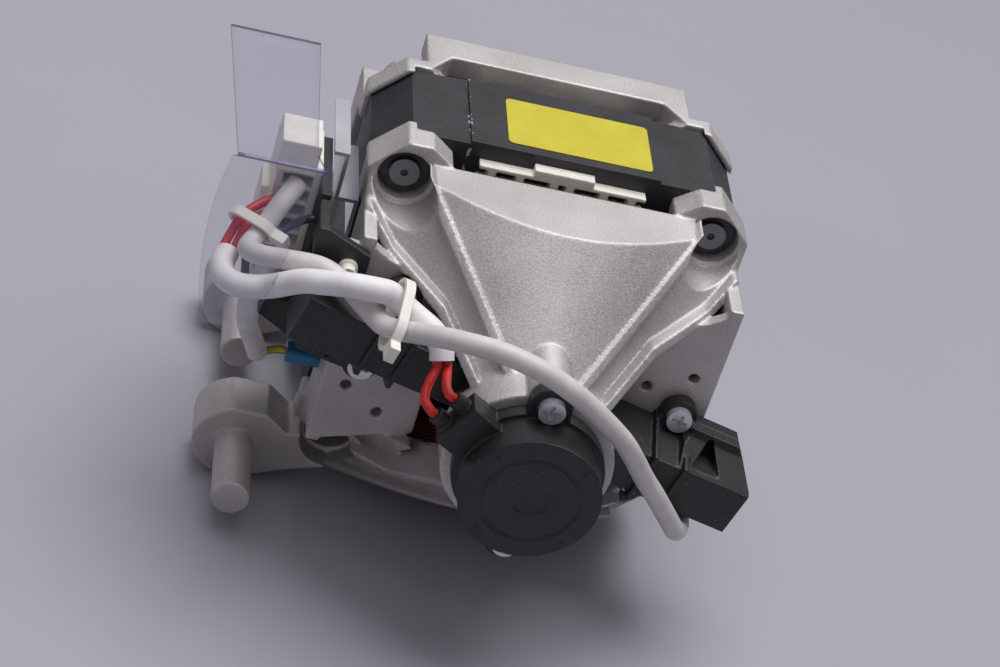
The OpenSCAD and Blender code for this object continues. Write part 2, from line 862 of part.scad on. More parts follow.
// Brush gear: each holder lies on its plate, and its brush line crosses the shaft
lug_d = 11;
lug_t = 4;
lug_screw_d = 4;
lug_screw_len = 8;
guide_t = 0.8;
guide_play = 0.1;
brush_gap = 0.3;
brush_y = -brush_depth;
guide_gap = 2.5;
guide_start = commutator_d / 2 + guide_gap;
spring_wire = 0.8;
spring_turns = 8;
spring_slack = 2.1;
spring_space = brush_travel + spring_turns * spring_wire + spring_slack;
brush_start = commutator_d / 2 + brush_gap;
guide_end = brush_start + brush_len + spring_space;
guide_bare = 2;
holder_start = guide_start + guide_bare;
holder_rise = 8.5;
holder_front = brush_y - holder_rise;
holder_base = 4;
holder_crown = 5.4;
holder_square = 9;
holder_step = 3;
holder_join = lug_along + holder_step;
holder_rib_t = 1.6;
holder_rib_rise = 1.6;
holder_ribs = [lug_along - 6, lug_along + 4];
holder_fin_t = 1.2;
holder_fin_y = plate_front - 2 * holder_base;
holder_cut = 8;
holder_dent = [4, 9];
inlet_along = 62;
inlet_across = -15;
inlet_d = 9;
inlet_set = 4;
inlet_depth = 3;
inlet_front = brush_y + inlet_set;
grey_d = 6;

module at_brushes(turn) {
    rotate([0, brush_tilt + turn, 0]) children();
}

module at_brush_lugs() {
    for (turn = [0, 180], side = [-1, 1]) at_brushes(turn)
        translate([lug_along, 0, side * lug_across]) children();
}

// A channel along the brush line, inset from the brush by its play and a wall
module channel(x0, x1, inset) {
    w = brush_t + 2 * guide_play + 2 * inset;
    d = brush_w + 2 * guide_play + 2 * inset;
    translate([x0, brush_y - d / 2, -w / 2]) cube([x1 - x0, d, w]);
}

module brush_guide() {
    difference() {
        channel(guide_start, guide_end + guide_t, guide_t);
        channel(guide_start - over, guide_end, 0);
    }
}

// A section (across the brush line, Y) drawn out along the brush line
module along_line(x0, x1) {
    translate([x0, 0, 0]) rotate([0, 90, 0]) linear_extrude(x1 - x0) mirror([1, 0]) children();
}

// One side of the holder slopes in towards the front, the other stands nearly square
module holder_section(half_w, slope_w, rise = 0) {
    base_y = plate_front - holder_base;
    front_y = holder_front - rise;
    polygon([[-half_w - rise, plate_front], [slope_w + rise, plate_front], [slope_w + rise, base_y],
        [holder_crown + rise, front_y], [-min(holder_square, half_w) - rise, front_y],
        [-half_w - rise, base_y]]);
}

module holder_body() {
    along_line(holder_start, holder_join) holder_section(holder_neck, holder_neck);
    intersection() {
        union() {
            along_line(holder_join, holder_end) holder_section(holder_half, holder_top);
            along_line(holder_ribs[1], holder_end) translate([0, holder_fin_y])
                square([holder_top, holder_fin_t]);
        }
        front(holder_front - over, plate_front) polygon([[holder_join, -holder_half - over],
            [holder_end, -holder_half - over], [holder_end, holder_top - holder_cut],
            [holder_end - holder_cut, holder_top + over], [holder_join, holder_top + over]]);
    }
    front(plate_front - lug_t, plate_front) for (side = [-1, 1])
        strip([lug_along, side * lug_across], [lug_along, 0], lug_d);
    for (x = holder_ribs) along_line(x, x + holder_rib_t)
        holder_section(holder_neck, holder_neck, holder_rib_rise);
}

// A three-cornered dent in the slope of the outer part
module slope_dent() {
    start = holder_ribs[1] + 2 * holder_rib_t;
    root = holder_crown + over;
    front(holder_front - over, plate_front - holder_base - over) polygon([[start, root],
        [start + holder_dent[1], root], [start + holder_dent[0], holder_top - over]]);
}

module brush_holder() {
    difference() {
        holder_body();
        slope_dent();
        channel(holder_start - over, guide_end + guide_t, guide_t);
        for (side = [-1, 1]) rod(plate_front - lug_t - over, plate_front + over, lug_screw_d + seat,
            [lug_along, side * lug_across]);
        for (side = [-1, 1]) rod(holder_front - lug_t, plate_front - lug_t, screw_head_d + over,
            [lug_along, side * lug_across]);
    }
}

// Inlet on the holder's lower side that takes the sleeved lead
module lead_inlet() {
    difference() {
        front(inlet_front, plate_front - over) {
            translate([inlet_along, inlet_across]) circle(d = inlet_d);
            translate([inlet_along - inlet_d / 2, inlet_across])
                square([inlet_d, -inlet_across - holder_neck]);
        }
        rod(inlet_front - over, inlet_front + inlet_depth, grey_d + play, [inlet_along, inlet_across]);
    }
}

module brush_holder_left() {
    color("#1f1f22") from_stack() at_brushes(180) brush_holder();
}

module brush_holder_right() {
    color("#1f1f22") from_stack() at_brushes(0) {
        brush_holder();
        lead_inlet();
    }
}

module brush_guide_left() {
    color("#b08d3c") from_stack() at_brushes(180) brush_guide();
}

module brush_guide_right() {
    color("#b08d3c") from_stack() at_brushes(0) brush_guide();
}

module brush_holder_screws() {
    color("#c9ccd2") from_stack() at_brush_lugs()
        pan_screw(plate_front - lug_t, lug_screw_len, lug_screw_d - 2 * fit, screw_head_d, screw_head_t);
}

module carbon_brush() {
    difference() {
        translate([0, brush_y - brush_w / 2, -brush_t / 2])
            cube([brush_start + brush_len, brush_w, brush_t]);
        rod(brush_y - brush_w, brush_y + brush_w, 2 * brush_start);
    }
}

module brush_left() {
    color("#3b3a3d") from_stack() at_brushes(180) carbon_brush();
}

module brush_right() {
    color("#3b3a3d") from_stack() at_brushes(0) carbon_brush();
}

// Brush springs: one unbroken helix each, between the brush and the guide's end wall
spring_room = 0.4;
spring_d = brush_t - spring_wire - spring_room;
spring_rings = 8;
spring_sides = 6;
spring_steps = spring_turns * spring_rings;
spring_x0 = brush_start + brush_len + spring_wire;
spring_x1 = guide_end - spring_wire;
spring_route = [
    for (i = [0:spring_steps])
        let (a = 360 * i / spring_rings, along = spring_x0 + (spring_x1 - spring_x0) * i / spring_steps)
        [along, brush_y + spring_d / 2 * cos(a), spring_d / 2 * sin(a)]
];
spring_gaps = [for (i = [0:spring_steps], j = [i + spring_rings - 1:1:spring_steps])
    norm(spring_route[i] - spring_route[j]) - spring_wire];
echo(least_spring_gap = min(spring_gaps));

module brush_spring() {
    swept(spring_route, spring_wire, spring_sides, [1, 0, 0]);
}

module brush_spring_left() {
    color("#9a9ca2") from_stack() at_brushes(180) brush_spring();
}

module brush_spring_right() {
    color("#9a9ca2") from_stack() at_brushes(0) brush_spring();
}

// Rotor: slotted core on the stepped shaft, its windings, the commutator and the pulley
rotor_d = bore_d - 2 * air_gap;
slot_r = 24;
slot_d = 5.4;
slot_mouth = 1.6;
winding_r = 28;
winding_tacho = 26;
winding_drive = 16;
winding_skirt = 6;
winding_gap = 0.3;
commutator_end = -brush_depth + commutator_len / 2;
commutator_start = commutator_end - commutator_len;
bar_gap = 0.6;
bar_t = 4.5;
riser_t = 2;
riser_len = 3;
shaft_nose = 0.8;
shaft_tacho_y = magnet_y - shaft_nose;
collar_rise = 3;
collar_t = 4;
collar_r = shaft_d / 2 + collar_rise;
winding_core_gap = 1;
winding_edge = 2;
pulley_rim = 2;
pulley_step = 1.5;
crest_share = 0.3;
pulley_y0 = shaft_tip_y - stub_len - pulley_grooves * groove_pitch - 2 * pulley_rim;
pulley_y1 = shaft_tip_y - stub_len;
pulley_bore_d = stub_d + 2 * pulley_step;

module shaft() {
    tacho_seat_start = tacho_bearing_y - shaft_nose;
    tacho_seat_end = tacho_bearing_y + tacho_bearing_w;
    points = [
        [0, shaft_tacho_y], [magnet_seat_d / 2, shaft_tacho_y], [magnet_seat_d / 2, tacho_seat_start],
        [tacho_bearing_id / 2, tacho_seat_start], [tacho_bearing_id / 2, tacho_seat_end],
        [shaft_d / 2, tacho_seat_end], [shaft_d / 2, drive_bearing_y - collar_t],
        [collar_r, drive_bearing_y - collar_t], [collar_r, drive_bearing_y],
        [drive_bearing_id / 2, drive_bearing_y], [drive_bearing_id / 2, pulley_y0],
        [pulley_bore_d / 2, pulley_y0], [pulley_bore_d / 2, pulley_y1],
        [stub_d / 2, pulley_y1], [stub_d / 2, shaft_tip_y], [0, shaft_tip_y]
    ];
    color("#b7bac0") from_stack() turned() polygon(points);
}

module rotor_core() {
    color("#55555b") from_stack() front(0, core_len) difference() {
        circle(d = rotor_d);
        circle(d = shaft_d + 2 * fit);
        for (k = [0:rotor_slots - 1]) rotate(360 * k / rotor_slots) {
            translate([slot_r, 0]) circle(d = slot_d);
            translate([slot_r, -slot_mouth / 2]) square([rotor_d, slot_mouth]);
        }
    }
}

module winding_head(len) {
    inner = shaft_d / 2 + winding_core_gap;
    polygon([[inner, winding_gap], [winding_r - winding_edge, winding_gap],
        [winding_r, winding_gap + winding_edge], [winding_r, len - winding_skirt],
        [winding_r - winding_skirt, len], [inner, len]]);
}

module rotor_winding() {
    color("#a5582e") from_stack() {
        turned() mirror([0, 1]) winding_head(winding_tacho);
        translate([0, core_len, 0]) turned() winding_head(winding_drive);
    }
}

// Copper bars of the commutator, each with a riser at the winding's end
module commutator() {
    step = 360 / commutator_bars;
    r = commutator_d / 2;
    hub_r = r - bar_t;
    color("#b4703a") from_stack() difference() {
        turned() polygon([[hub_r, commutator_start], [r, commutator_start], [r, commutator_end - riser_len],
            [r + riser_t, commutator_end - riser_len], [r + riser_t, commutator_end],
            [hub_r, commutator_end]]);
        front(commutator_start - over, commutator_end + over) for (k = [0:commutator_bars - 1])
            rotate((k + 0.5) * step) translate([hub_r - over, -bar_gap / 2])
                square([bar_t + riser_t + 2 * over, bar_gap]);
    }
}

module commutator_hub() {
    color("#4b2f22") from_stack() front(commutator_start, commutator_end) difference() {
        circle(d = commutator_d - 2 * bar_t - 2 * fit);
        circle(d = shaft_d + 2 * fit);
    }
}

// Ribbed pulley: V grooves at a steady pitch between two plain collars
module drive_pulley() {
    r = pulley_d / 2;
    start = pulley_y0 + pulley_rim;
    crest = groove_pitch * crest_share;
    grooves = [for (k = [0:pulley_grooves - 1]) let (y = start + k * groove_pitch) each [
        [r, y + crest / 2], [r - groove_depth, y + groove_pitch / 2 - crest / 4],
        [r - groove_depth, y + groove_pitch / 2 + crest / 4], [r, y + groove_pitch - crest / 2]]];
    bore_r = pulley_bore_d / 2 + fit;
    color("#8e9196") from_stack() turned() polygon(concat(
        [[bore_r, pulley_y0], [r, pulley_y0]], grooves, [[r, pulley_y1], [bore_r, pulley_y1]]));
}

// Connector: a white housing with a column of ways open to the tacho side, under a closed head
connector_front = -12;
connector_back = connector_front + connector_depth;
connector_end = 2.5;
connector_head = 10;
connector_shoulder = connector_top - connector_head;
connector_foot = connector_shoulder - ways * way_pitch - 2 * connector_end;
connector_mid_x = -connector_x - connector_w / 2;
way_side = 2.2;
way_wall = 1.3;
way_w = connector_w - 2 * way_side;
way_h = way_pitch - way_wall;
way_depth = 9;
head_w = 11.5;
head_shift = 1;
head_ahead = 4.5;
head_depth = 15;
latch_out = 2.5;
latch_set = 5;
latch_up = 8;
latch_h = 20;
contact_t = 0.8;
contact_len = 6;

module at_ways() {
    first_z = connector_foot + connector_end + way_pitch / 2;
    for (k = [0:ways - 1]) translate([connector_mid_x, 0, first_z + k * way_pitch]) children();
}

module connector_housing() {
    outer = -connector_x - connector_w;
    color("#ece8e2") from_stack() difference() {
        union() {
            translate([outer, connector_front, connector_foot])
                cube([connector_w, connector_depth, connector_shoulder - connector_foot]);
            translate([outer - head_shift, connector_front - head_ahead, connector_shoulder])
                cube([head_w, head_depth, connector_head]);
            translate([outer - latch_out, connector_front + latch_set, connector_foot + latch_up])
                cube([latch_out + over, connector_depth - 2 * latch_set, latch_h]);
        }
        at_ways() front(connector_front - over, connector_front + way_depth)
            square([way_w, way_h], center = true);
    }
}

module connector_contacts() {
    floor_y = connector_front + way_depth;
    color("#b58a4a") from_stack() at_ways() front(floor_y - contact_len, floor_y)
        square([way_w - over, contact_t], center = true);
}

// Black bracket: a side plate beside the connector, a sloped shelf under it and a lug on the shield
bracket_t = 3;
bracket_x = connector_x - bracket_t;
shelf_t = 2.5;
bracket_lug_t = 3;
bracket_ahead = 9;
shelf_drop = 4;
shelf_lip = 2;
shelf_low = -12;
lug_corner = [5.5, 4.5];
lug_tip = [5.5, -3.3];
bracket_top = 42;
bracket_lug_z = 30.6;
bracket_arm_h = 9.5;
bracket_front = plate_front - bracket_lug_t;

module connector_bracket() {
    outer = -connector_x - connector_w - shelf_lip;
    wall_x = -side_x - seat;
    plate_low = connector_foot - shelf_drop;
    color("#202023") from_stack() difference() {
        union() {
            translate([-connector_x, connector_front - bracket_ahead, plate_low])
                cube([bracket_t, connector_depth + bracket_ahead, bracket_top - plate_low]);
            front(connector_front - bracket_ahead, connector_back)
                polygon([[outer, connector_foot - seat], [outer, connector_foot - shelf_t],
                    [wall_x, shelf_low - shelf_t], [wall_x, shelf_low],
                    [-bracket_x, plate_low], [-connector_x, connector_foot - seat]]);
            front(bracket_front, plate_front) polygon([pin_lug_at + lug_corner, pin_lug_at + lug_tip,
                [-connector_x, bracket_lug_z], [-connector_x, bracket_lug_z + bracket_arm_h],
                [-bracket_x, bracket_lug_z + bracket_arm_h]]);
            translate([-connector_x, bracket_front, bracket_lug_z])
                cube([bracket_t, connector_front - bracket_front, bracket_arm_h]);
        }
        rod(bracket_front - over, plate_front + over, clip_d, pin_lug_at);
    }
}

// White push pin through the bracket's lug into the shield: a flange, a shank and a split head
clip_flange_d = 5.6;
clip_flange_t = 1.4;
clip_head_d = 4.6;
clip_head_t = 3;
clip_slot = 1.2;
clip_turn = 30;

module push_pin() {
    flange_y = bracket_front - clip_flange_t;
    color("#f2f0ec") from_stack() difference() {
        union() {
            rod(flange_y, bracket_front, clip_flange_d, pin_lug_at);
            rod(bracket_front, plate_back + clip_reach, clip_d - 2 * fit, pin_lug_at);
            rod(flange_y - clip_head_t, flange_y, clip_head_d, pin_lug_at);
        }
        front(flange_y - clip_head_t - over, flange_y - over) translate(pin_lug_at) rotate(clip_turn)
            square([2 * clip_head_d, clip_slot], center = true);
    }
}

// Clear drip cover: a folded sheet, its roof on the connector and its front hanging over the leads
cover_z = connector_top + seat;
cover_crease_y = -30;
cover_back_y = 40;
cover_drop = 47;
cover_lean = 33;
cover_bulge_r = 86;
cover_left = -100;
cover_right = -73;
cover_flare = 3;
cover_taper = 10;
cover_inset = 5.5;

module drip_cover() {
    fold_right = cover_right + cover_flare;
    color("#c9cbe0", 0.4) from_stack() {
        translate([0, 0, cover_z]) linear_extrude(cover_t)
            polygon([[cover_left + cover_inset, cover_crease_y], [fold_right, cover_crease_y],
                [cover_right, cover_crease_y + cover_flare], [cover_right, cover_back_y],
                [cover_left, cover_back_y]]);
        translate([0, cover_crease_y, cover_z + cover_t]) rotate([-cover_lean, 0, 0])
            translate([0, 0, -cover_drop]) front(0, cover_t) intersection() {
                translate([cover_left + cover_bulge_r, cover_drop / 2]) circle(cover_bulge_r);
                polygon([[cover_left - over, 0], [cover_right - cover_taper, 0], [fold_right, cover_drop],
                    [cover_left - over, cover_drop]]);
            }
    }
}

// Zinc-plated strip on the stack's left side: a sole, a step out, an upright web and a top flange
tab_t = 1.2;
tab_y = -2;
tab_len = 30;
tab_x = 61.5;
tab_flange = 4.5;
tab_top_z = 45;
tab_foot_z = 29;
tab_drop = 11;

module earth_tab() {
    tip_x = -tab_x - tab_flange;
    web_x = -tab_x - tab_t;
    sole_x = -half - tab_t;
    color("#bfc1cf") from_stack() front(tab_y, tab_y + tab_len) polygon([[tip_x, tab_top_z],
        [-tab_x, tab_top_z], [-tab_x, tab_foot_z + tab_t], [-half, tab_foot_z + tab_t],
        [-half, tab_foot_z - tab_drop], [sole_x, tab_foot_z - tab_drop], [sole_x, tab_foot_z],
        [web_x, tab_foot_z], [web_x, tab_top_z - tab_t], [tip_x, tab_top_z - tab_t]]);
}

// Earth terminal: a tab terminal in a blue sleeve against the shield's side wall
terminal_len = 10;
terminal_w = 7;
terminal_h = 5;
terminal_r = 2;
terminal_y = -15;
terminal_z = -17.5;

module earth_terminal() {
    color("#3f86b8") from_stack() translate([-side_x - terminal_len, terminal_y, terminal_z])
        rotate([0, 90, 0]) linear_extrude(terminal_len) rounded(terminal_h, terminal_w, terminal_r);
}

// Leads: hand-chosen points along each route, from the connector to where each one ends
white_d = 7;
sleeve_sides = 10;
earth_wire_d = 2.4;
black_d = 2.4;
white_route = [[-91.6, -30.2, 22.6], [-92.6, -35, 21.3], [-91.2, -40, 20.6], [-86.6, -43.2, 21.2],
    [-79.3, -44, 23.3], [-71.5, -49, 30.5], [-65.5, -52, 33.5], [-59, -54.5, 36], [-52, -55, 36.5],
    [-48, -53.8, 35.4], [-44.6, -54, 33.2], [-39.5, -56.5, 31.3], [-34.5, -59.2, 29.5],
    [-31.5, -61.8, 26.8], [-30.6, -64, 23.8]];
grey_route = [[-75.5, -14.3, 39.5], [-79.3, -21, 36], [-83.3, -26.5, 29.8], [-86, -31.2, 27.8],
    [-86.4, -35, 28], [-82.6, -38, 28.9], [-75, -39.6, 30.2], [-66.3, -42.5, 31.8], [-59.3, -47, 30.8],
    [-53, -52.7, 28.6], [-48.5, -58.5, 28.2], [-44.6, -61.5, 29.3], [-40, -64, 31.2], [-35, -68.5, 34.5],
    [-27, -73, 37.4], [-17, -76.5, 38.7], [-6, -79, 37], [4, -79.5, 32.5], [13, -78.5, 26],
    [22, -76.5, 18], [29, -70.5, 8], [35.5, -65, -2], [42, -61.5, -10.5], [48.5, -58, -19.5],
    [53.5, -53.5, -26.8], [56.2, -46.5, -29.4]];
earth_route = [[-75.5, -14.5, 14], [-78.5, -20, 12.5], [-82, -27, 8], [-81, -29, 0], [-77.5, -26.5, -8],
    [-75, -22, -15]];
black_route = [[-75.5, -9.3, 24], [-75.5, -14, 24], [-75.5, -18.5, 27], [-73.5, -21.5, 31.5],
    [-71, -22.2, 33.5], [-69.3, -22.2, 34]];
earth_wire_route = [[-74.9, -21.7, -15.3], [-73.8, -18.9, -17.2], [-71.5, -16.2, -18],
    [-68.5, -15, -17.6], [-66.2, -15, -17.5]];
tie_upper_at = 2;
tie_middle_white = 10;
tie_middle_grey = 11;

// Directions from which the rings of each lead are turned
up = [0, 0, 1];
white_ref = [0, 0.3, 1];
grey_ref = [0.2, 0.2, 1];
earth_ref = [1, 0.4, 0];
lead_ref = [0.5, 0, 1];

// A point beside the middle of a route's end face, a little outside it
function end_face(p, i, side, away) =
    let (t = heading(p, i), d = i == 0 ? -t : t, e = unit(cross(t, up)))
    p[i] + away * d + side * e;

module white_sleeve() {
    color("#f0eef0") from_stack() swept(white_route, white_d, sleeve_sides, white_ref);
}

module grey_sleeve() {
    inlet = [inlet_along * cos(brush_tilt) + inlet_across * sin(brush_tilt), inlet_front + lead_gap,
        -inlet_along * sin(brush_tilt) + inlet_across * cos(brush_tilt)];
    color("#b9b6b4") from_stack()
        swept(concat(grey_route, [inlet]), grey_d, sleeve_sides, grey_ref);
}

module earth_sleeve() {
    color("#b9b6b4") from_stack() swept(earth_route, grey_d, sleeve_sides, earth_ref);
}

module black_lead() {
    color("#18181a") from_stack() swept(black_route, black_d, lead_sides, up);
}

module earth_lead() {
    color("#c8c832") from_stack() swept(earth_wire_route, earth_wire_d, lead_sides, white_ref);
}

// Two red leads from the white sleeve into the tacho cap's collars
lead_sides = 8;
lead_apart = 1.6;
lead_gap = 0.15;
lead_straight = 1.8;
tacho_lead_mids = [[[-33.3, -69.5, 19.5], [-33.8, -73, 16.7]], [[-28.9, -69, 22], [-29, -73, 21.9]]];
connector_lead_mids = [[[-78, -9.3, 34], [-78, -13, 34], [-84.5, -17.5, 32.6], [-89.4, -22, 29.4]],
    [[-78, -9.3, 29], [-78, -13, 29], [-82.6, -18.3, 29.8], [-87.2, -23.6, 29]]];

module tacho_leads() {
    radial = [cos(terminal_angle), 0, sin(terminal_angle)];
    across = [-sin(terminal_angle), 0, cos(terminal_angle)];
    last = len(white_route) - 1;
    color("#d22a26") from_stack() for (k = [0, 1]) {
        side = 1 - 2 * k;
        collar = collar_end_r * radial + [0, collar_y, 0] + side * collar_across * across;
        swept(concat(
            [for (away = [lead_gap, lead_straight]) end_face(white_route, last, side * lead_apart, away)],
            tacho_lead_mids[k],
            [for (away = [lead_straight, lead_gap]) collar + away * radial]),
            lead_d, lead_sides, lead_ref);
    }
}

// Two red leads from the connector into the white sleeve's other end
module connector_leads() {
    color("#d22a26") from_stack() for (k = [0, 1]) {
        side = 1 - 2 * k;
        swept(concat(connector_lead_mids[k],
            [for (away = [lead_straight, lead_gap]) end_face(white_route, 0, side * lead_apart, away)]),
            lead_d, lead_sides, up);
    }
}

// Nylon ties: a band round the leads and its square head
tie_t = 1.2;
tie_w = 3;
tie_head = 5;
tie_room = 2.2;
tie_head_drop = 1.5;
tie_lean = 13;
tie_upper_turn = -90;
tie_upper_reach = 6;

module tie_band(r, reach) {
    linear_extrude(tie_w, center = true) difference() {
        strip([0, 0], [reach, 0], 2 * (r + tie_t));
        strip([0, 0], [reach, 0], 2 * r);
    }
}

module tie_head_at(x, y) {
    translate([x, y, 0]) cube([tie_head, tie_head, tie_w], center = true);
}

// The upper tie holds the grey sleeve and the two red leads beside it
module cable_tie_upper() {
    r = grey_d / 2 + play;
    color("#f1efe9") from_stack()
        aimed(grey_route[tie_upper_at], heading(grey_route, tie_upper_at)) rotate(tie_upper_turn) {
            tie_band(r, tie_upper_reach);
            tie_head_at(-r - tie_head / 2, 0);
        }
}

// The middle tie holds the white and the grey sleeve
module cable_tie_middle() {
    white_at = white_route[tie_middle_white];
    grey_at = grey_route[tie_middle_grey];
    spread = [grey_at[1] - white_at[1], grey_at[2] - white_at[2]];
    r = white_d / 2 + tie_room;
    color("#f1efe9") from_stack() translate(white_at) rotate([0, tie_lean, 0]) rotate([90, 0, 90]) {
        rotate(atan2(spread[1], spread[0])) tie_band(r, norm(spread));
        tie_head_at(spread[0] - r - tie_head / 2, spread[1] - tie_head_drop);
    }
}

stator_core();
field_coil_upper();
field_coil_lower();
coil_insulator_tacho_upper();
coil_insulator_tacho_lower();
coil_insulator_drive_upper();
coil_insulator_drive_lower();
tacho_end_shield();
drive_end_shield();
through_bolts();
tacho_bearing_outer();
drive_bearing_outer();
bearing_wave_washer();
tacho_cap();
tacho_coil();
tacho_screws();
brush_holder_left();
brush_holder_right();
brush_guide_left();
brush_guide_right();
brush_holder_screws();
connector_housing();
connector_contacts();
connector_bracket();
push_pin();
drip_cover();
earth_tab();
earth_terminal();
white_sleeve();
grey_sleeve();
earth_sleeve();
tacho_leads();
connector_leads();
black_lead();
earth_lead();
cable_tie_upper();
cable_tie_middle();
shaft();
rotor_core();
rotor_winding();
commutator();
commutator_hub();
drive_pulley();
tacho_magnet();
tacho_bearing_inner();
drive_bearing_inner();
brush_left();
brush_right();
brush_spring_left();
brush_spring_right();
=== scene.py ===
"""Looks of a washing machine's universal motor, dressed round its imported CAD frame.

Everything is in metres, in the CAD model's own frame: X right, Y along the shaft to the pulley, Z up.
"""

import math

import bmesh
import bpy
from mathutils import Matrix, Vector


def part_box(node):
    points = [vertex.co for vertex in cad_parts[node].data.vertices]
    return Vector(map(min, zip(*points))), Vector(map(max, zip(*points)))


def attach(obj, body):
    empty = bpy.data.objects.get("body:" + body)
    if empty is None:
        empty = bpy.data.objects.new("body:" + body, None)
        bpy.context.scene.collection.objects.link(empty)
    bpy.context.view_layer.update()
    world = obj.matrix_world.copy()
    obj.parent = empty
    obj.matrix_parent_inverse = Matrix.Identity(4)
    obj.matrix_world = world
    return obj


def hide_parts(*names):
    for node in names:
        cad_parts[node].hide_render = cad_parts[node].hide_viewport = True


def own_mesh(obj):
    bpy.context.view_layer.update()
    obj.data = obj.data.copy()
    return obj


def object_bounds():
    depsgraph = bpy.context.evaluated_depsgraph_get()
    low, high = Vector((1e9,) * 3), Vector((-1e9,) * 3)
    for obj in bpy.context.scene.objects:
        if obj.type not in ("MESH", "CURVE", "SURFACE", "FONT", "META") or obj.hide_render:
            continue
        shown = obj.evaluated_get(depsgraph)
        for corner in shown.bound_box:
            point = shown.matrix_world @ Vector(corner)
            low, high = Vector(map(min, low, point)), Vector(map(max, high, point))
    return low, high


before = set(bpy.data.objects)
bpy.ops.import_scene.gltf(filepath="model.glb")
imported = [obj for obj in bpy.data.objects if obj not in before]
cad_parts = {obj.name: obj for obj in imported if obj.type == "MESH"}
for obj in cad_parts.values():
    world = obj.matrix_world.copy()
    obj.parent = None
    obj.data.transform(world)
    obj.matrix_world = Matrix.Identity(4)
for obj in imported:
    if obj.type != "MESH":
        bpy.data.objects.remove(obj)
cad_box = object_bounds()

# Camera: it stands in front of the tacho side, above it and to its left, about 0.9 m away.
# Its roll is the lean of the motor on the table, so that the motor stays square in its frame.
PHOTO_WIDTH_PX = 1000
FOCAL_LENGTH_PX = 2816.3
SENSOR_WIDTH_MM = 36.0
eye = Vector((-0.1602, -0.7940, 0.4593))
camera_right = Vector((0.9636, -0.0413, 0.2643)).normalized()
camera_back = Vector((-0.1859, -0.8136, 0.5509)).normalized()
camera_up = camera_back.cross(camera_right).normalized()

camera_data = bpy.data.cameras.new("photo_camera")
camera_data.sensor_width = SENSOR_WIDTH_MM
camera_data.lens = FOCAL_LENGTH_PX * SENSOR_WIDTH_MM / PHOTO_WIDTH_PX
camera = bpy.data.objects.new("photo_camera", camera_data)
bpy.context.scene.collection.objects.link(camera)
turn = Matrix((camera_up.cross(camera_back), camera_up, camera_back)).transposed()
camera.matrix_world = Matrix.Translation(eye) @ turn.to_4x4()
bpy.context.scene.camera = camera

# White sleeve: soft PVC tubing over the tacho's two red leads, from the connector to the cap.
# It turns back on itself behind the upper tie, crosses the brush holder and ends open.
STACK_FACE_Y_MM = -105.5
WHITE_SLEEVE_MM = 7.0
WHITE_SLEEVE_SIDES = 28
SLEEVE_BORE_SHARE = 0.74
SLEEVE_MOUTH_MM = 3.5
ROUTE_STEPS = 8
WIRE_SIDES = 16
WIRE_END_SHARE = 0.9  # a cut end is a tenth narrower than its wire
FIRST_SIDE = Vector((0.31, 0.17, 0.93))  # no piece runs this way, so every tube's hoops can start from it
SHARP_EDGE_DEG = 50
WHITE_ROUTE_MM = [
    (-91.6, -30.2, 22.6), (-92.6, -35, 21.3), (-91.2, -40, 20.6), (-86.6, -43.2, 21.2), (-79.3, -44, 23.3),
    (-71.5, -49, 30.5), (-65.5, -52, 33.5), (-59, -54.5, 36), (-52, -55, 36.5), (-48, -53.8, 35.4),
    (-44.6, -54, 33.2), (-39.5, -56.5, 31.3), (-34.5, -59.2, 29.5), (-31.5, -61.8, 26.8), (-30.6, -64, 23.8),
]


def in_frame(points_mm):
    """Points measured from the stack's tacho-side face in millimetres, as points of the frame in metres."""
    return [Vector((x, y + STACK_FACE_Y_MM, z)) / 1000 for x, y, z in points_mm]


def smooth_line(points):
    """A smooth curve through the points, with a few pieces between each two of them."""
    ends = [2 * points[0] - points[1], *points, 2 * points[-1] - points[-2]]
    line = []
    for a, b, c, d in zip(ends, ends[1:], ends[2:], ends[3:]):
        for t in (k / ROUTE_STEPS for k in range(ROUTE_STEPS)):
            bend = (2 * a - 5 * b + 4 * c - d) * t * t + (3 * b - a - 3 * c + d) * t ** 3
            line.append(0.5 * (2 * b + (c - a) * t + bend))
    return [*line, points[-1]]


def add_tube(mesh, line, radius, sides, bore=0.0, mouth=0.0, closed=False):
    """Draws a tube along a line. With a bore, its ends are open to the depth of the mouth."""
    last = len(line) - 1
    normal = FIRST_SIDE
    hoops = []
    for i, point in enumerate(line):
        after = line[(i + 1) % len(line)] if closed else line[min(i + 1, last)]
        before = line[i - 1] if closed else line[max(i - 1, 0)]
        heading = (after - before).normalized()
        normal = (normal - heading * normal.dot(heading)).normalized()
        hoops.append((point, heading, normal.copy(), radius))
    for end, step in () if closed else ((0, 1), (-1, -1)):
        point, heading, across, _ = hoops[end]
        for inward, r in [(0.0, bore), (step * mouth, bore)] if bore else [(0.0, WIRE_END_SHARE * radius)]:
            hoop = (point + heading * inward, heading, across, r)
            hoops.insert(0 if step > 0 else len(hoops), hoop)
    angles = [2 * math.pi * k / sides for k in range(sides)]
    rings = []
    for point, heading, across, r in hoops:
        other = heading.cross(across)
        spokes = [math.cos(a) * across + math.sin(a) * other for a in angles]
        rings.append([mesh.verts.new(point + r * spoke) for spoke in spokes])
    for low, high in zip(rings, rings[1:] + rings[:1] if closed else rings[1:]):
        for k in range(sides):
            mesh.faces.new((low[k], low[(k + 1) % sides], high[(k + 1) % sides], high[k]))
    if not closed:
        mesh.faces.new(rings[0][::-1])
        mesh.faces.new(rings[-1])


def piece_of(mesh, name, *materials):
    """Turns a drawn mesh into a piece with its materials, smooth but for its sharp edges."""
    bmesh.ops.recalc_face_normals(mesh, faces=mesh.faces)
    made = bpy.data.meshes.new(name)
    mesh.to_mesh(made)
    mesh.free()
    made.shade_smooth()
    made.set_sharp_from_angle(angle=math.radians(SHARP_EDGE_DEG))
    for material in materials:
        made.materials.append(material)
    piece = bpy.data.objects.new(name, made)
    bpy.context.scene.collection.objects.link(piece)
    return piece


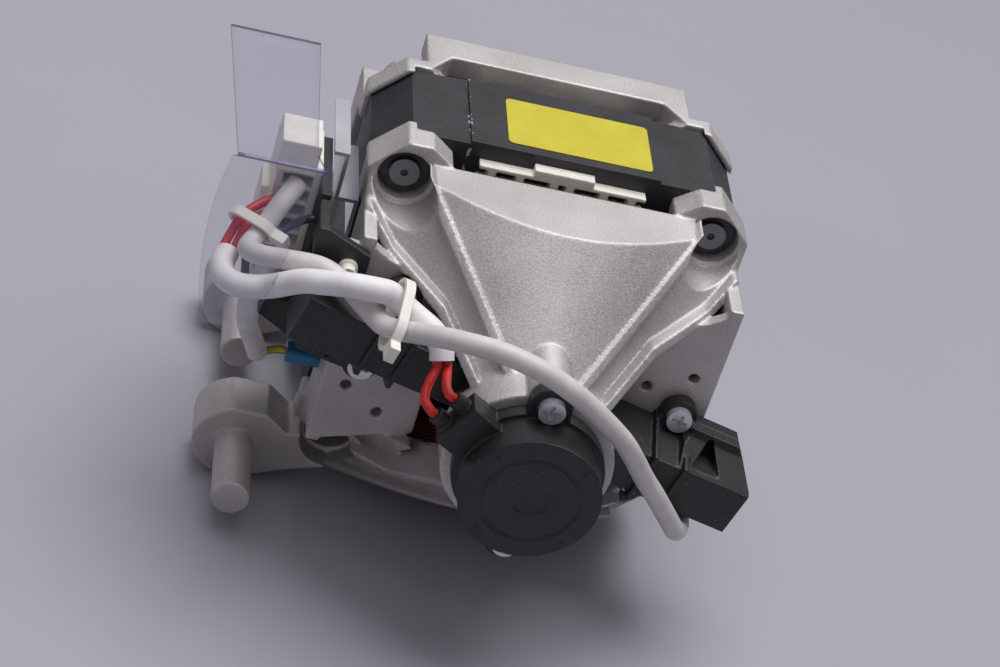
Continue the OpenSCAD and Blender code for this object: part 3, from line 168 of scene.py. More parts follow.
def tube(name, line, radius, material, sides=WIRE_SIDES, bore=0.0, mouth=0.0):
    """A piece that is one tube along a line."""
    mesh = bmesh.new()
    add_tube(mesh, line, radius, sides, bore, mouth)
    return piece_of(mesh, name, material)


def linear(colour):
    """The linear RGBA of an sRGB hex colour, by the sRGB curve."""
    channels = [int(colour[k:k + 2], 16) / 255 for k in (1, 3, 5)]
    return (*[c / 12.92 if c <= 0.04045 else ((c + 0.055) / 1.055) ** 2.4 for c in channels], 1.0)


def per_metre(size_mm):
    """The scale of a pattern whose features have that size."""
    return 1000 / size_mm


def add(tree, kind, settings=None, links=None):
    """Adds a node. Each setting is a property or an input's value, and each link an input's source."""
    node = tree.nodes.new(kind)
    for name, value in (settings or {}).items():
        if isinstance(name, int) or name in node.inputs:
            node.inputs[name].default_value = value
        else:
            setattr(node, name, value)
    for name, (source, output) in (links or {}).items():
        tree.links.new(source.outputs[output], node.inputs[name])
    return node


# A mix node's sockets share their names, so its colour ones go by number
MIX_SHARE, MIX_UNDER, MIX_OVER, MIX_COLOUR = 0, 6, 7, 2
# Nearly all of a noise lies between these levels
NOISE_LOW, NOISE_HIGH = 0.3, 0.7


def grained(name, dark, light, patch_mm, grain_mm, depth_mm, rough, **sockets):
    """A material whose colour drifts between two tones in patches, with a fine grain in its skin.

    A real skin's grain is too fine for the render, so grain_mm is as coarse as it needs to be to show.
    rough is the lowest and the highest roughness, and the other values go straight on the shader's sockets.
    """
    made = bpy.data.materials.new(name)
    made.use_nodes = True
    tree = made.node_tree
    shader = tree.nodes["Principled BSDF"]
    for socket, value in sockets.items():
        shader.inputs[socket.replace("_", " ").title().replace("Ior", "IOR")].default_value = value
    place = add(tree, "ShaderNodeTexCoord")
    at = {"Vector": (place, "Object")}
    patches = add(tree, "ShaderNodeTexNoise", {"Scale": per_metre(patch_mm), "Detail": 4.0}, at)
    middle = {"From Min": NOISE_LOW, "From Max": NOISE_HIGH}
    spread = add(tree, "ShaderNodeMapRange", middle, {"Value": (patches, "Fac")})
    tones = add(tree, "ShaderNodeMix",
                {"data_type": "RGBA", MIX_UNDER: linear(dark), MIX_OVER: linear(light)},
                {MIX_SHARE: (spread, "Result")})
    grain = add(tree, "ShaderNodeTexNoise", {"Scale": per_metre(grain_mm), "Detail": 2.0}, at)
    gloss = add(tree, "ShaderNodeMapRange", {**middle, "To Min": rough[0], "To Max": rough[1]},
                {"Value": (grain, "Fac")})
    skin = add(tree, "ShaderNodeBump", {"Distance": depth_mm / 1000}, {"Height": (grain, "Fac")})
    tree.links.new(tones.outputs[MIX_COLOUR], shader.inputs["Base Color"])
    tree.links.new(gloss.outputs["Result"], shader.inputs["Roughness"])
    tree.links.new(skin.outputs["Normal"], shader.inputs["Normal"])
    return made


# Soft white PVC: extruded, so its skin is smooth and a little waxy, with faint handling marks
soft_white_pvc = grained("soft_white_pvc", "#e2dee1", "#f1eef0", patch_mm=6.0, grain_mm=1.2, depth_mm=0.03,
                         rough=(0.42, 0.58), ior=1.53)
white_line = smooth_line(in_frame(WHITE_ROUTE_MM))
white_sleeve = tube("white_sleeve_tube", white_line, WHITE_SLEEVE_MM / 2000, soft_white_pvc,
                    WHITE_SLEEVE_SIDES, SLEEVE_BORE_SHARE * WHITE_SLEEVE_MM / 2000, SLEEVE_MOUTH_MM / 1000)
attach(white_sleeve, "stator")
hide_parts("white_sleeve")

# Grey sleeves: thicker-walled PVC tubing, one over the brush lead to the right-hand holder's inlet
# and a short one over the earth wire, which hangs down beside the connector.
GREY_SLEEVE_MM = 6.0
GREY_SLEEVE_SIDES = 24
GREY_ROUTE_MM = [
    (-75.5, -14.3, 39.5), (-79.3, -21, 36), (-83.3, -26.5, 29.8), (-86, -31.2, 27.8), (-86.4, -35, 28),
    (-82.6, -38, 28.9), (-75, -39.6, 30.2), (-66.3, -42.5, 31.8), (-59.3, -47, 30.8), (-53, -52.7, 28.6),
    (-48.5, -58.5, 28.2), (-44.6, -61.5, 29.3), (-40, -64, 31.2), (-35, -68.5, 34.5), (-27, -73, 37.4),
    (-17, -76.5, 38.7), (-6, -79, 37), (4, -79.5, 32.5), (13, -78.5, 26), (22, -76.5, 18), (29, -70.5, 8),
    (35.5, -65, -2), (42, -61.5, -10.5), (48.5, -58, -19.5), (53.5, -53.5, -26.8), (56.2, -46.5, -29.4),
    (56.53, -38.35, -29.55),
]
EARTH_ROUTE_MM = [
    (-75.5, -14.5, 14), (-78.5, -20, 12.5), (-82, -27, 8), (-81, -29, 0), (-77.5, -26.5, -8), (-75, -22, -15),
]

# Soft grey PVC: extruded, with an even light grey skin a touch shinier than the white
soft_grey_pvc = grained("soft_grey_pvc", "#c9c5c4", "#dbd7d6", patch_mm=8.0, grain_mm=1.4, depth_mm=0.03,
                        rough=(0.38, 0.52), ior=1.53)
for name, node, route in (("grey_sleeve_tube", "grey_sleeve", GREY_ROUTE_MM),
                          ("earth_sleeve_tube", "earth_sleeve", EARTH_ROUTE_MM)):
    line = smooth_line(in_frame(route))
    sleeve = tube(name, line, GREY_SLEEVE_MM / 2000, soft_grey_pvc, GREY_SLEEVE_SIDES,
                  SLEEVE_BORE_SHARE * GREY_SLEEVE_MM / 2000, SLEEVE_MOUTH_MM / 1000)
    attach(sleeve, "stator")
    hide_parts(node)

# Wires: stranded copper with extruded PVC round it. Two red ones leave each end of the white sleeve, for the
# connector and for the tacho cap, a thin black one loops beside the connector, and the earth wire is striped.
RED_WIRE_MM = 2.7
THIN_WIRE_MM = 2.4
RED_AT_CAP_MM = [
    [(-32.4, -63.7, 25), (-31.7, -65.6, 22.4), (-33.3, -69.5, 19.5), (-33.8, -73, 16.7),
     (-31.7, -75.25, 14.8), (-30.3, -75.25, 13.9)],
    [(-29.5, -62.5, 25), (-28.7, -64.4, 22.4), (-28.9, -69, 22), (-29, -73, 21.9), (-28, -75.25, 21.1),
     (-26.5, -75.25, 20.2)],
]
RED_AT_CONNECTOR_MM = [
    [(-78, -9.3, 34), (-78, -13, 34), (-84.5, -17.5, 32.6), (-89.4, -22, 29.4), (-92.8, -28.2, 23.1),
     (-93.5, -31.3, 22.2)],
    [(-78, -9.3, 29), (-78, -13, 29), (-82.6, -18.3, 29.8), (-87.2, -23.6, 29), (-89.7, -28.8, 23.1),
     (-90.3, -32, 22.2)],
]
BLACK_ROUTE_MM = [(-75.5, -9.3, 24), (-75.5, -14, 24), (-75.5, -18.5, 27), (-73.5, -21.5, 31.5),
                  (-71, -22.2, 33.5), (-69.3, -22.2, 34)]
EARTH_WIRE_ROUTE_MM = [(-76.2, -23.9, -11.8), (-74.9, -21.7, -15.3), (-73.8, -18.9, -17.2),
                       (-71.5, -16.2, -18), (-68.5, -15, -17.6), (-66.2, -15, -17.5)]

# Red PVC insulation: smooth and fairly glossy, so that a line of light runs along each bend
red_insulation = grained("red_pvc_insulation", "#c32420", "#d93029",
                         patch_mm=3.0, grain_mm=0.8, depth_mm=0.02,
                         rough=(0.32, 0.45), ior=1.53)
for node, routes in (("tacho_leads", RED_AT_CAP_MM), ("connector_leads", RED_AT_CONNECTOR_MM)):
    for k, route in enumerate(routes):
        line = smooth_line(in_frame(route))
        wire = tube(f"{node}_wire_{k + 1}", line, RED_WIRE_MM / 2000, red_insulation)
        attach(wire, "stator")
        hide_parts(node)

# Black PVC insulation: the same skin, of which only the gloss shows
black_insulation = grained("black_pvc_insulation", "#1b1b1d", "#26262a",
                           patch_mm=3.0, grain_mm=0.8, depth_mm=0.02,
                           rough=(0.35, 0.5), ior=1.53)
black_line = smooth_line(in_frame(BLACK_ROUTE_MM))
black_wire = tube("black_lead_wire", black_line, THIN_WIRE_MM / 2000, black_insulation)
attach(black_wire, "stator")
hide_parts("black_lead")

# Yellow and green PVC insulation: two colours extruded as one skin, with a clean line between them.
# The green stripes run along the wire, on every second quarter of its skin.
STRIPES = 4
STRIPE_SIDES = WIRE_SIDES // STRIPES
yellow_insulation = grained("yellow_pvc_insulation", "#cdb81e", "#e0cc34",
                            patch_mm=3.0, grain_mm=0.8, depth_mm=0.02,
                            rough=(0.35, 0.5), ior=1.53)
green_insulation = grained("green_pvc_insulation", "#2a7d33", "#379243",
                           patch_mm=3.0, grain_mm=0.8, depth_mm=0.02,
                           rough=(0.35, 0.5), ior=1.53)
earth_line = smooth_line(in_frame(EARTH_WIRE_ROUTE_MM))
earth_wire = tube("earth_lead_wire", earth_line, THIN_WIRE_MM / 2000, yellow_insulation)
earth_wire.data.materials.append(green_insulation)
for face in earth_wire.data.polygons:
    face.material_index = face.index // STRIPE_SIDES % 2
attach(earth_wire, "stator")
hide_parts("earth_lead")

# Lamination stack: black-lacquered electrical steel sheets, pressed together and bolted between the shields.
# The edges of the sheets draw fine lines round it, and knocks on the pads' left edge show bare steel.
LAMINATION_MM = 1.5  # the sheets are half a millimetre, drawn three to a line so that they show
WAVE_TURN = math.pi / 10  # the scale at which a wave texture has one band to the unit
RIDGE_MM = 0.1
PAD_EDGE_MM = 28.5
EDGE_BAND_MM = 0.5
KNOCK_MM = 2.6
# Lacquered lamination steel: dipped, so it is a dull black with a faint blue cast and a satin shine
lacquered_sheet = grained("lacquered_lamination_steel", "#242327", "#343337",
                          patch_mm=14.0, grain_mm=1.1, depth_mm=0.05,
                          rough=(0.45, 0.62), ior=1.5)
tree = lacquered_sheet.node_tree
shader = tree.nodes["Principled BSDF"]
place = add(tree, "ShaderNodeTexCoord")
sheets = add(tree, "ShaderNodeTexWave",
             {"Scale": WAVE_TURN * per_metre(LAMINATION_MM), "bands_direction": "Y", "Distortion": 0.6,
              "Detail Scale": 3.0},
             {"Vector": (place, "Object")})
skin = shader.inputs["Normal"].links[0].from_node
ridges = add(tree, "ShaderNodeBump", {"Distance": RIDGE_MM / 1000, "Strength": 0.3},
             {"Height": (sheets, "Fac"), "Normal": (skin, "Normal")})
tree.links.new(ridges.outputs["Normal"], shader.inputs["Normal"])
across = add(tree, "ShaderNodeSeparateXYZ", {}, {"Vector": (place, "Object")})
near_edge = add(tree, "ShaderNodeMath",
                {"operation": "COMPARE", 1: -PAD_EDGE_MM / 1000, 2: EDGE_BAND_MM / 1000}, {0: (across, "X")})
chips = add(tree, "ShaderNodeTexNoise", {"Scale": per_metre(KNOCK_MM), "Detail": 3.0},
            {"Vector": (place, "Object")})
chipped = add(tree, "ShaderNodeMapRange", {"From Min": 0.56, "From Max": 0.62}, {"Value": (chips, "Fac")})
knocks = add(tree, "ShaderNodeMath", {"operation": "MULTIPLY"},
             {0: (near_edge, "Value"), 1: (chipped, "Result")})
lacquer = shader.inputs["Base Color"].links[0].from_node
lightened_tone = add(tree, "ShaderNodeMix", {"data_type": "RGBA", MIX_OVER: linear("#b5b3b6")},
           {MIX_SHARE: (knocks, "Value"), MIX_UNDER: (lacquer, MIX_COLOUR)})
tree.links.new(lightened_tone.outputs[MIX_COLOUR], shader.inputs["Base Color"])


def finish_nodes(names, material):
    """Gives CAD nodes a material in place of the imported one."""
    for name in names:
        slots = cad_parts[name].data.materials
        slots.clear()
        slots.append(material)


finish_nodes(["stator_core"], lacquered_sheet)

# Label: a self-adhesive plate of yellow film on the stack's upper pad, left bare.
# It is punched with rounded corners and lies flat on the edges of the sheets.
LABEL_LOW_MM = (-17.4, 3.6)
LABEL_HIGH_MM = (26.2, 28.3)
LABEL_THICK_MM = 0.25
LABEL_CORNER_MM = 1.6
CORNER_STEPS = 6
pad_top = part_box("stator_core")[1].z


def rounded_plate(low, high, thickness, corner):
    """A thin plate with round corners, lying on z = 0."""
    mesh = bmesh.new()
    outline = []
    for k, (x, y) in enumerate(((high.x, high.y), (low.x, high.y), (low.x, low.y), (high.x, low.y))):
        centre = Vector((x - math.copysign(corner, x - (low.x + high.x) / 2),
                         y - math.copysign(corner, y - (low.y + high.y) / 2), 0))
        for step in range(CORNER_STEPS + 1):
            a = math.pi / 2 * (k + step / CORNER_STEPS)
            outline.append(mesh.verts.new(centre + corner * Vector((math.cos(a), math.sin(a), 0))))
    face = mesh.faces.new(outline)
    raised = bmesh.ops.extrude_face_region(mesh, geom=[face])["geom"]
    upper = [part for part in raised if isinstance(part, bmesh.types.BMVert)]
    bmesh.ops.translate(mesh, vec=(0, 0, thickness), verts=upper)
    return mesh


# Yellow label film: smooth and coated, so it is an even warm yellow with a satin shine
label_film = grained("yellow_label_film", "#c4b62c", "#cec23c", patch_mm=9.0, grain_mm=1.6, depth_mm=0.02,
                     rough=(0.36, 0.48), ior=1.5)
low, high = in_frame([(*LABEL_LOW_MM, 0), (*LABEL_HIGH_MM, 0)])
plate = rounded_plate(low, high, LABEL_THICK_MM / 1000, LABEL_CORNER_MM / 1000)
label = piece_of(plate, "bare_label", label_film)
label.location.z = pad_top
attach(label, "stator")

# Field coils: enamelled copper wire, wound in a racetrack round each pole neck and dipped in varnish.
# It stands out past both ends of the stack. Its outer turns hide the rest, so only they are drawn.
COIL_WIRE_MM = 1.3  # the wire is half a millimetre, drawn thicker so that its turns show
COIL_HALF_MM = (29.0, 31.75)
COIL_BAND_MM = (11.7, 11.0)
COIL_CORNER_MM = 10.0
COIL_INNER_CORNER_MM = 3.0
COIL_WIRE_SIDES = 8
COIL_RADIUS_SHARE = 0.52  # of the space of a turn, so that turns side by side just touch
STACK_MIDDLE_Y_MM = 17.75
# Varnished copper wire: a dark red-brown under the varnish, with a line of light on each turn
varnished_wire = grained("varnished_copper_wire", "#4c2412", "#74391c",
                         patch_mm=7.0, grain_mm=0.9, depth_mm=0.04,
                         rough=(0.3, 0.45), metallic=0.7)


def racetrack(half_x, half_y, corner, z):
    """A closed line round the stack's middle, with round corners, at a height above the shaft."""
    points = []
    for k, (sx, sy) in enumerate(((1, 1), (-1, 1), (-1, -1), (1, -1))):
        for a in (math.pi / 2 * (k + step / CORNER_STEPS) for step in range(CORNER_STEPS + 1)):
            points.append((sx * (half_x - corner) + corner * math.cos(a),
                           STACK_MIDDLE_Y_MM + sy * (half_y - corner) + corner * math.sin(a), z))
    return in_frame(points)


for node in ("field_coil_upper", "field_coil_lower"):
    low_z, high_z = (1000 * corner.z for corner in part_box(node))
    layers = round((high_z - low_z) / COIL_WIRE_MM)
    turns = round(COIL_BAND_MM[0] / COIL_WIRE_MM)
    pitch = (high_z - low_z) / layers
    mesh = bmesh.new()
    for layer in range(layers):
        for turn in range(turns):
            if 0 < layer < layers - 1 and 0 < turn < turns - 1:
                continue
            share = (turn + 0.5) / turns
            half_x, half_y = (half - share * band for half, band in zip(COIL_HALF_MM, COIL_BAND_MM))
            corner_mm = max(COIL_CORNER_MM * (1 - share), COIL_INNER_CORNER_MM)
            loop = racetrack(half_x, half_y, corner_mm, low_z + (layer + 0.5) * pitch)
            add_tube(mesh, loop, COIL_RADIUS_SHARE * pitch / 1000, COIL_WIRE_SIDES, closed=True)
    coil = piece_of(mesh, f"{node}_turns", varnished_wire)
    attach(coil, "stator")
    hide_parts(node)

# Rotor winding: the same wire, laid from slot to slot, so that each head is a dome of crossing turns.
# Each head has a resin-filled middle, and two layers of turns that lean opposite ways over it.
HEAD_WIRE_MM = 2.0  # bundles of a few wires, as they lie in one slot
HEAD_COILS = 24
HEAD_SWEEP = math.radians(105)
HEAD_STEPS = 14
# Each layer's radius, its height as a share of the head's, its lean, and how far its turns draw in
HEAD_LAYERS = ((26.6, 0.78, 1, 0.02), (23.4, 0.96, -1, 0.2))
HEAD_SWELL = 0.6  # below 1, so that the turns rise steeply and lie flat over the top
# The resin's profile: radius, and height as a share of the head's
HEAD_PROFILE = ((8.6, 0), (25.4, 0), (25.6, 0.5), (22, 0.8), (14, 0.93), (8.6, 0.9))
HEAD_SIDES = 48
# Each head's name, the face that it stands on, the way it points, and its height
WINDING_HEADS = (("tacho", -0.3, -1, 25.7), ("drive", 35.8, 1, 15.7))
for name, face_y_mm, out, head_mm in WINDING_HEADS:
    mesh = bmesh.new()
    angles = [2 * math.pi * k / HEAD_SIDES for k in range(HEAD_SIDES)]
    rings = []
    for r, height in HEAD_PROFILE:
        y = face_y_mm + out * height * head_mm
        hoop = in_frame([(r * math.cos(a), y, r * math.sin(a)) for a in angles])
        rings.append([mesh.verts.new(point) for point in hoop])
    for low_ring, high_ring in zip(rings, rings[1:] + rings[:1]):
        for k in range(HEAD_SIDES):
            after = (k + 1) % HEAD_SIDES
            mesh.faces.new((low_ring[k], low_ring[after], high_ring[after], high_ring[k]))
    for radius_mm, rise, lean, draw_in in HEAD_LAYERS:
        for k in range(HEAD_COILS):
            arc = []
            for t in (step / HEAD_STEPS for step in range(HEAD_STEPS + 1)):
                a = 2 * math.pi * k / HEAD_COILS + lean * HEAD_SWEEP * t
                swell = math.sin(math.pi * t) ** HEAD_SWELL
                r = radius_mm * (1 - draw_in * swell)
                along = swell * rise * (head_mm - HEAD_WIRE_MM / 2)
                arc.append((r * math.cos(a), face_y_mm + out * along, r * math.sin(a)))
            add_tube(mesh, in_frame(arc), HEAD_WIRE_MM / 2000, COIL_WIRE_SIDES)
    head = piece_of(mesh, f"rotor_winding_{name}_head", varnished_wire)
    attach(head, "rotor")
    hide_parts("rotor_winding")

# End insulators: white glass-filled nylon, moulded with a row of windows under a stepped top edge.
# They are pushed on the ends of the stack, to keep the field coils off the steel.
WELD_M = 1e-6  # corners closer than this are one
RELAX_SHARE = 0.5  # how far a pass moves each point towards the middle of its neighbours
# Moulded white nylon: the glass in it makes it an opaque ivory white, with a slightly rough satin skin
white_nylon = grained("moulded_white_nylon", "#e4dfd3", "#f0ece2", patch_mm=5.0, grain_mm=0.7, depth_mm=0.02,
                      rough=(0.4, 0.52), ior=1.53)


def rounded_copy(node, body, material, cell_mm, passes, keep):
    """A copy of a CAD node with its edges rounded as a mould or die leaves them, which stands for the node.

    The copy is remeshed in cells of that size, relaxed in some passes, and thinned to a share of its faces.
    """
    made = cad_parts[node].data.copy()
    made.materials.clear()
    mesh = bmesh.new()
    mesh.from_mesh(made)
    bmesh.ops.remove_doubles(mesh, verts=mesh.verts, dist=WELD_M)
    mesh.to_mesh(made)
    mesh.free()
    piece = bpy.data.objects.new(f"{node}_moulded", made)
    bpy.context.scene.collection.objects.link(piece)
    skin = piece.modifiers.new("skin", "REMESH")
    skin.mode = "VOXEL"
    skin.voxel_size = cell_mm / 1000
    relax = piece.modifiers.new("relax", "SMOOTH")
    relax.factor = RELAX_SHARE
    relax.iterations = passes
    thin = piece.modifiers.new("thin", "DECIMATE")
    thin.ratio = keep
    piece.modifiers.new("flats", "WEIGHTED_NORMAL")
    shown = piece.evaluated_get(bpy.context.evaluated_depsgraph_get())
    shown.data.shade_smooth()
    piece.data = bpy.data.meshes.new_from_object(shown)
    piece.modifiers.clear()
    piece.data.materials.clear()
    piece.data.materials.append(material)
    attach(piece, body)
    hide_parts(node)
    return piece


for side in ("tacho_upper", "tacho_lower", "drive_upper", "drive_lower"):
    rounded_copy(f"coil_insulator_{side}", "stator", white_nylon,
                 cell_mm=0.22, passes=2, keep=0.3)

# End shields: die-cast aluminium, shot-blasted and left bare. The tacho-side one is a ribbed pyramid with
# the brush plates and the hub, the pulley-side one a frame with spokes, and each carries a support pin.
CAST_GRAIN_MM = 0.5
# Shot-blasted cast aluminium: a pale, faintly warm grey with a fine sparkling grain and no clear reflection
cast_aluminium = grained("shot_blasted_cast_aluminium", "#bab5b4", "#cfcac9",
                         patch_mm=22.0, grain_mm=CAST_GRAIN_MM, depth_mm=0.06,
                         rough=(0.45, 0.66), metallic=0.6)
tree = cast_aluminium.node_tree
shader = tree.nodes["Principled BSDF"]
place = add(tree, "ShaderNodeTexCoord")
# Convex edges are lighter, partly rubbed bare and partly a painted highlight, and concave corners are darker
# with painted shade
shape = add(tree, "ShaderNodeNewGeometry")
rubbed_and_highlit = add(tree, "ShaderNodeMapRange", {"From Min": 0.52, "From Max": 0.68, "To Max": 0.14},
             {"Value": (shape, "Pointiness")})
painted_corner_shade = add(tree, "ShaderNodeMapRange", {"From Min": 0.49, "From Max": 0.42, "To Max": 0.6},
            {"Value": (shape, "Pointiness")})
speckle = add(tree, "ShaderNodeTexNoise", {"Scale": per_metre(CAST_GRAIN_MM), "Detail": 1.0},
              {"Vector": (place, "Object")})
flecks = add(tree, "ShaderNodeMapRange",
             {"From Min": 0.35, "From Max": 0.65, "To Min": 0.86, "To Max": 1.12},
             {"Value": (speckle, "Fac")})
plain = shader.inputs["Base Color"].links[0].from_node
flecked = add(tree, "ShaderNodeHueSaturation", {},
              {"Color": (plain, MIX_COLOUR), "Value": (flecks, "Result")})
edges = add(tree, "ShaderNodeMix", {"data_type": "RGBA", MIX_OVER: linear("#e2dedd")},
            {MIX_SHARE: (rubbed_and_highlit, "Result"), MIX_UNDER: (flecked, "Color")})
# Painted shade: the concave corners are mixed towards a darker grey
corners = add(tree, "ShaderNodeMix", {"data_type": "RGBA", MIX_OVER: linear("#6a6666")},
              {MIX_SHARE: (painted_corner_shade, "Result"), MIX_UNDER: (edges, MIX_COLOUR)})
tree.links.new(corners.outputs[MIX_COLOUR], shader.inputs["Base Color"])
for node in ("tacho_end_shield", "drive_end_shield"):
    rounded_copy(node, "stator", cast_aluminium, cell_mm=0.4, passes=12, keep=0.22)

# Through bolts: four steel bolts with a black finish, which clamp the two shields on the stack.
# Their flanged, dimpled heads sit at the bottom of the tacho-side shield's pockets.
# Black oxide steel: a soft black with a dull shine, with a painted reflection in lighter grey on the heads'
# outer faces
black_oxide = grained("black_oxide_steel", "#3a3a3e", "#4b4b50", patch_mm=4.0, grain_mm=0.8, depth_mm=0.02,
                      rough=(0.34, 0.46), metallic=0.45)
PAINTED_REFLECTION_DEPTH_MM = 0.4
tree = black_oxide.node_tree
shader = tree.nodes["Principled BSDF"]
place = add(tree, "ShaderNodeTexCoord")
along = add(tree, "ShaderNodeSeparateXYZ", {}, {"Vector": (place, "Object")})
head_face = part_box("through_bolts")[0].y + PAINTED_REFLECTION_DEPTH_MM / 1000
on_face = add(tree, "ShaderNodeMath", {"operation": "LESS_THAN", 1: head_face}, {0: (along, "Y")})
oxide = shader.inputs["Base Color"].links[0].from_node
# Painted reflection: the heads' outer faces, which look to the front, are mixed towards a lighter grey
lightened_tone = add(tree, "ShaderNodeMix", {"data_type": "RGBA", MIX_OVER: linear("#86868a")},
           {MIX_SHARE: (on_face, "Value"), MIX_UNDER: (oxide, MIX_COLOUR)})
tree.links.new(lightened_tone.outputs[MIX_COLOUR], shader.inputs["Base Color"])
finish_nodes(["through_bolts"], black_oxide)

# Bearings, shaft and pulley: ground and turned steel, pressed together on the shaft line.
# The tool leaves fine rings round that line.
TURNING_MM = 0.8  # coarser than the real tool marks, so that they show
TOOL_MARK_MM = 0.01
# Turned steel: bright, with soft reflections that the rings break up along the shaft
turned_steel = grained("turned_steel", "#a3a5aa", "#b8babf", patch_mm=40.0, grain_mm=6.0, depth_mm=0.002,
                       rough=(0.24, 0.32), metallic=0.9)
tree = turned_steel.node_tree
shader = tree.nodes["Principled BSDF"]
place = add(tree, "ShaderNodeTexCoord")
rings = add(tree, "ShaderNodeTexWave",
            {"Scale": WAVE_TURN * per_metre(TURNING_MM), "bands_direction": "Y", "Distortion": 0.4},
            {"Vector": (place, "Object")})
skin = shader.inputs["Normal"].links[0].from_node
tooled = add(tree, "ShaderNodeBump", {"Distance": TOOL_MARK_MM / 1000, "Strength": 0.5},
             {"Height": (rings, "Fac"), "Normal": (skin, "Normal")})
tree.links.new(tooled.outputs["Normal"], shader.inputs["Normal"])
finish_nodes(["shaft", "drive_pulley", "tacho_bearing_outer", "drive_bearing_outer", "tacho_bearing_inner",
              "drive_bearing_inner", "bearing_wave_washer"], turned_steel)

# Rotor: stacked sheets ground to size, with a copper commutator on a moulded resin hub.
# The tacho's ring magnet turns with it at the shaft's end, close to a fixed coil covered in the same resin.
# Ground lamination steel: a dull dark grey that shines where the wheel passed
ground_sheet = grained("ground_lamination_steel", "#56565c", "#6e6e74",
                       patch_mm=6.0, grain_mm=0.6, depth_mm=0.03,
                       rough=(0.32, 0.5), metallic=0.9)
# Turned copper: warm and bright, as the brushes keep it
turned_copper = grained("turned_copper", "#9c5b30", "#bd7a48", patch_mm=4.0, grain_mm=0.7, depth_mm=0.02,
                        rough=(0.22, 0.36), metallic=1.0)
# Moulded brown resin: dark and nearly matt
moulded_resin = grained("moulded_brown_resin", "#3a2419", "#4a3022",
                        patch_mm=4.0, grain_mm=0.7, depth_mm=0.03,
                        rough=(0.42, 0.6), ior=1.55)
# Sintered ferrite: a matt dark grey with a fine grain
ferrite = grained("sintered_ferrite", "#3c3c40", "#4b4b50", patch_mm=4.0, grain_mm=0.8, depth_mm=0.05,
                  rough=(0.5, 0.68))
finish_nodes(["rotor_core"], ground_sheet)
finish_nodes(["commutator"], turned_copper)
finish_nodes(["commutator_hub", "tacho_coil"], moulded_resin)
finish_nodes(["tacho_magnet"], ferrite)

# Tacho cap: a black glass-filled nylon moulding, with a terminal block for the two red leads.
# It covers the tacho's coil and magnet, and two screws hold it on the bearing hub.
# Moulded black nylon: a deep satin black, with specks of pale dust on it
black_moulding = grained("moulded_black_nylon", "#1c1c1e", "#27272a",
                         patch_mm=12.0, grain_mm=0.9, depth_mm=0.03,
                         rough=(0.4, 0.55), ior=1.53)
DUST_MM = 0.7
tree = black_moulding.node_tree
shader = tree.nodes["Principled BSDF"]
place = add(tree, "ShaderNodeTexCoord")
dust = add(tree, "ShaderNodeTexNoise", {"Scale": per_metre(DUST_MM), "Detail": 3.0},
           {"Vector": (place, "Object")})
specks = add(tree, "ShaderNodeMapRange", {"From Min": 0.68, "From Max": 0.74, "To Max": 0.5},
             {"Value": (dust, "Fac")})
bare = shader.inputs["Base Color"].links[0].from_node
dusted = add(tree, "ShaderNodeMix", {"data_type": "RGBA", MIX_OVER: linear("#8a898c")},
             {MIX_SHARE: (specks, "Result"), MIX_UNDER: (bare, MIX_COLOUR)})
tree.links.new(dusted.outputs[MIX_COLOUR], shader.inputs["Base Color"])
rounded_copy("tacho_cap", "stator", black_moulding, cell_mm=0.28, passes=2, keep=0.3)

# Screws: steel pan-head screws with a cross recess, zinc-plated.
# Two hold the cap on the hub, and two hold each brush holder on the shield.
# Bright zinc plate: a pale, slightly blue silver with soft reflections
bright_zinc = grained("bright_zinc_plate", "#d3d6de", "#e6e8ee", patch_mm=30.0, grain_mm=8.0, depth_mm=0.001,
                      rough=(0.22, 0.27), metallic=0.6)
finish_nodes(["tacho_screws", "brush_holder_screws"], bright_zinc)

# Brush gear: black moulded holders, screwed on the shield, with a folded brass guide each, in which a carbon
# brush slides. The connector's bracket and contacts are of the same two materials, so they come here too.
for node in ("brush_holder_left", "brush_holder_right", "connector_bracket"):
    rounded_copy(node, "stator", black_moulding, cell_mm=0.3, passes=2, keep=0.3)
# Folded brass sheet: warm yellow, with soft reflections
folded_brass = grained("folded_brass_sheet", "#9a7a34", "#b8974a", patch_mm=5.0, grain_mm=0.6, depth_mm=0.02,
                       rough=(0.25, 0.4), metallic=1.0)
# Pressed carbon: matt and nearly black, with a fine grain
pressed_carbon = grained("pressed_carbon", "#2d2c2f", "#3c3b3e", patch_mm=3.0, grain_mm=0.4, depth_mm=0.04,
                         rough=(0.5, 0.66))
finish_nodes(["brush_guide_left", "brush_guide_right", "connector_contacts"], folded_brass)
finish_nodes(["brush_left", "brush_right"], pressed_carbon)

# Brush springs: hard-drawn steel wire, wound in a helix between each brush and the end wall of its guide.
# A brush pushed back would shorten it towards that wall; here it is drawn at one length.
SPRING_WIRE_MM = 0.8
SPRING_WIRE_SIDES = 8
SPRING_STEPS = 24
SPRING_MIDDLE_MM = 3.8
SPRING_TURNS = 8
SPRING_FROM_MM, SPRING_TO_MM = 50.1, 65.0
BRUSH_LINE_Y_MM = -42.5
BRUSH_SLOPE = math.radians(14)
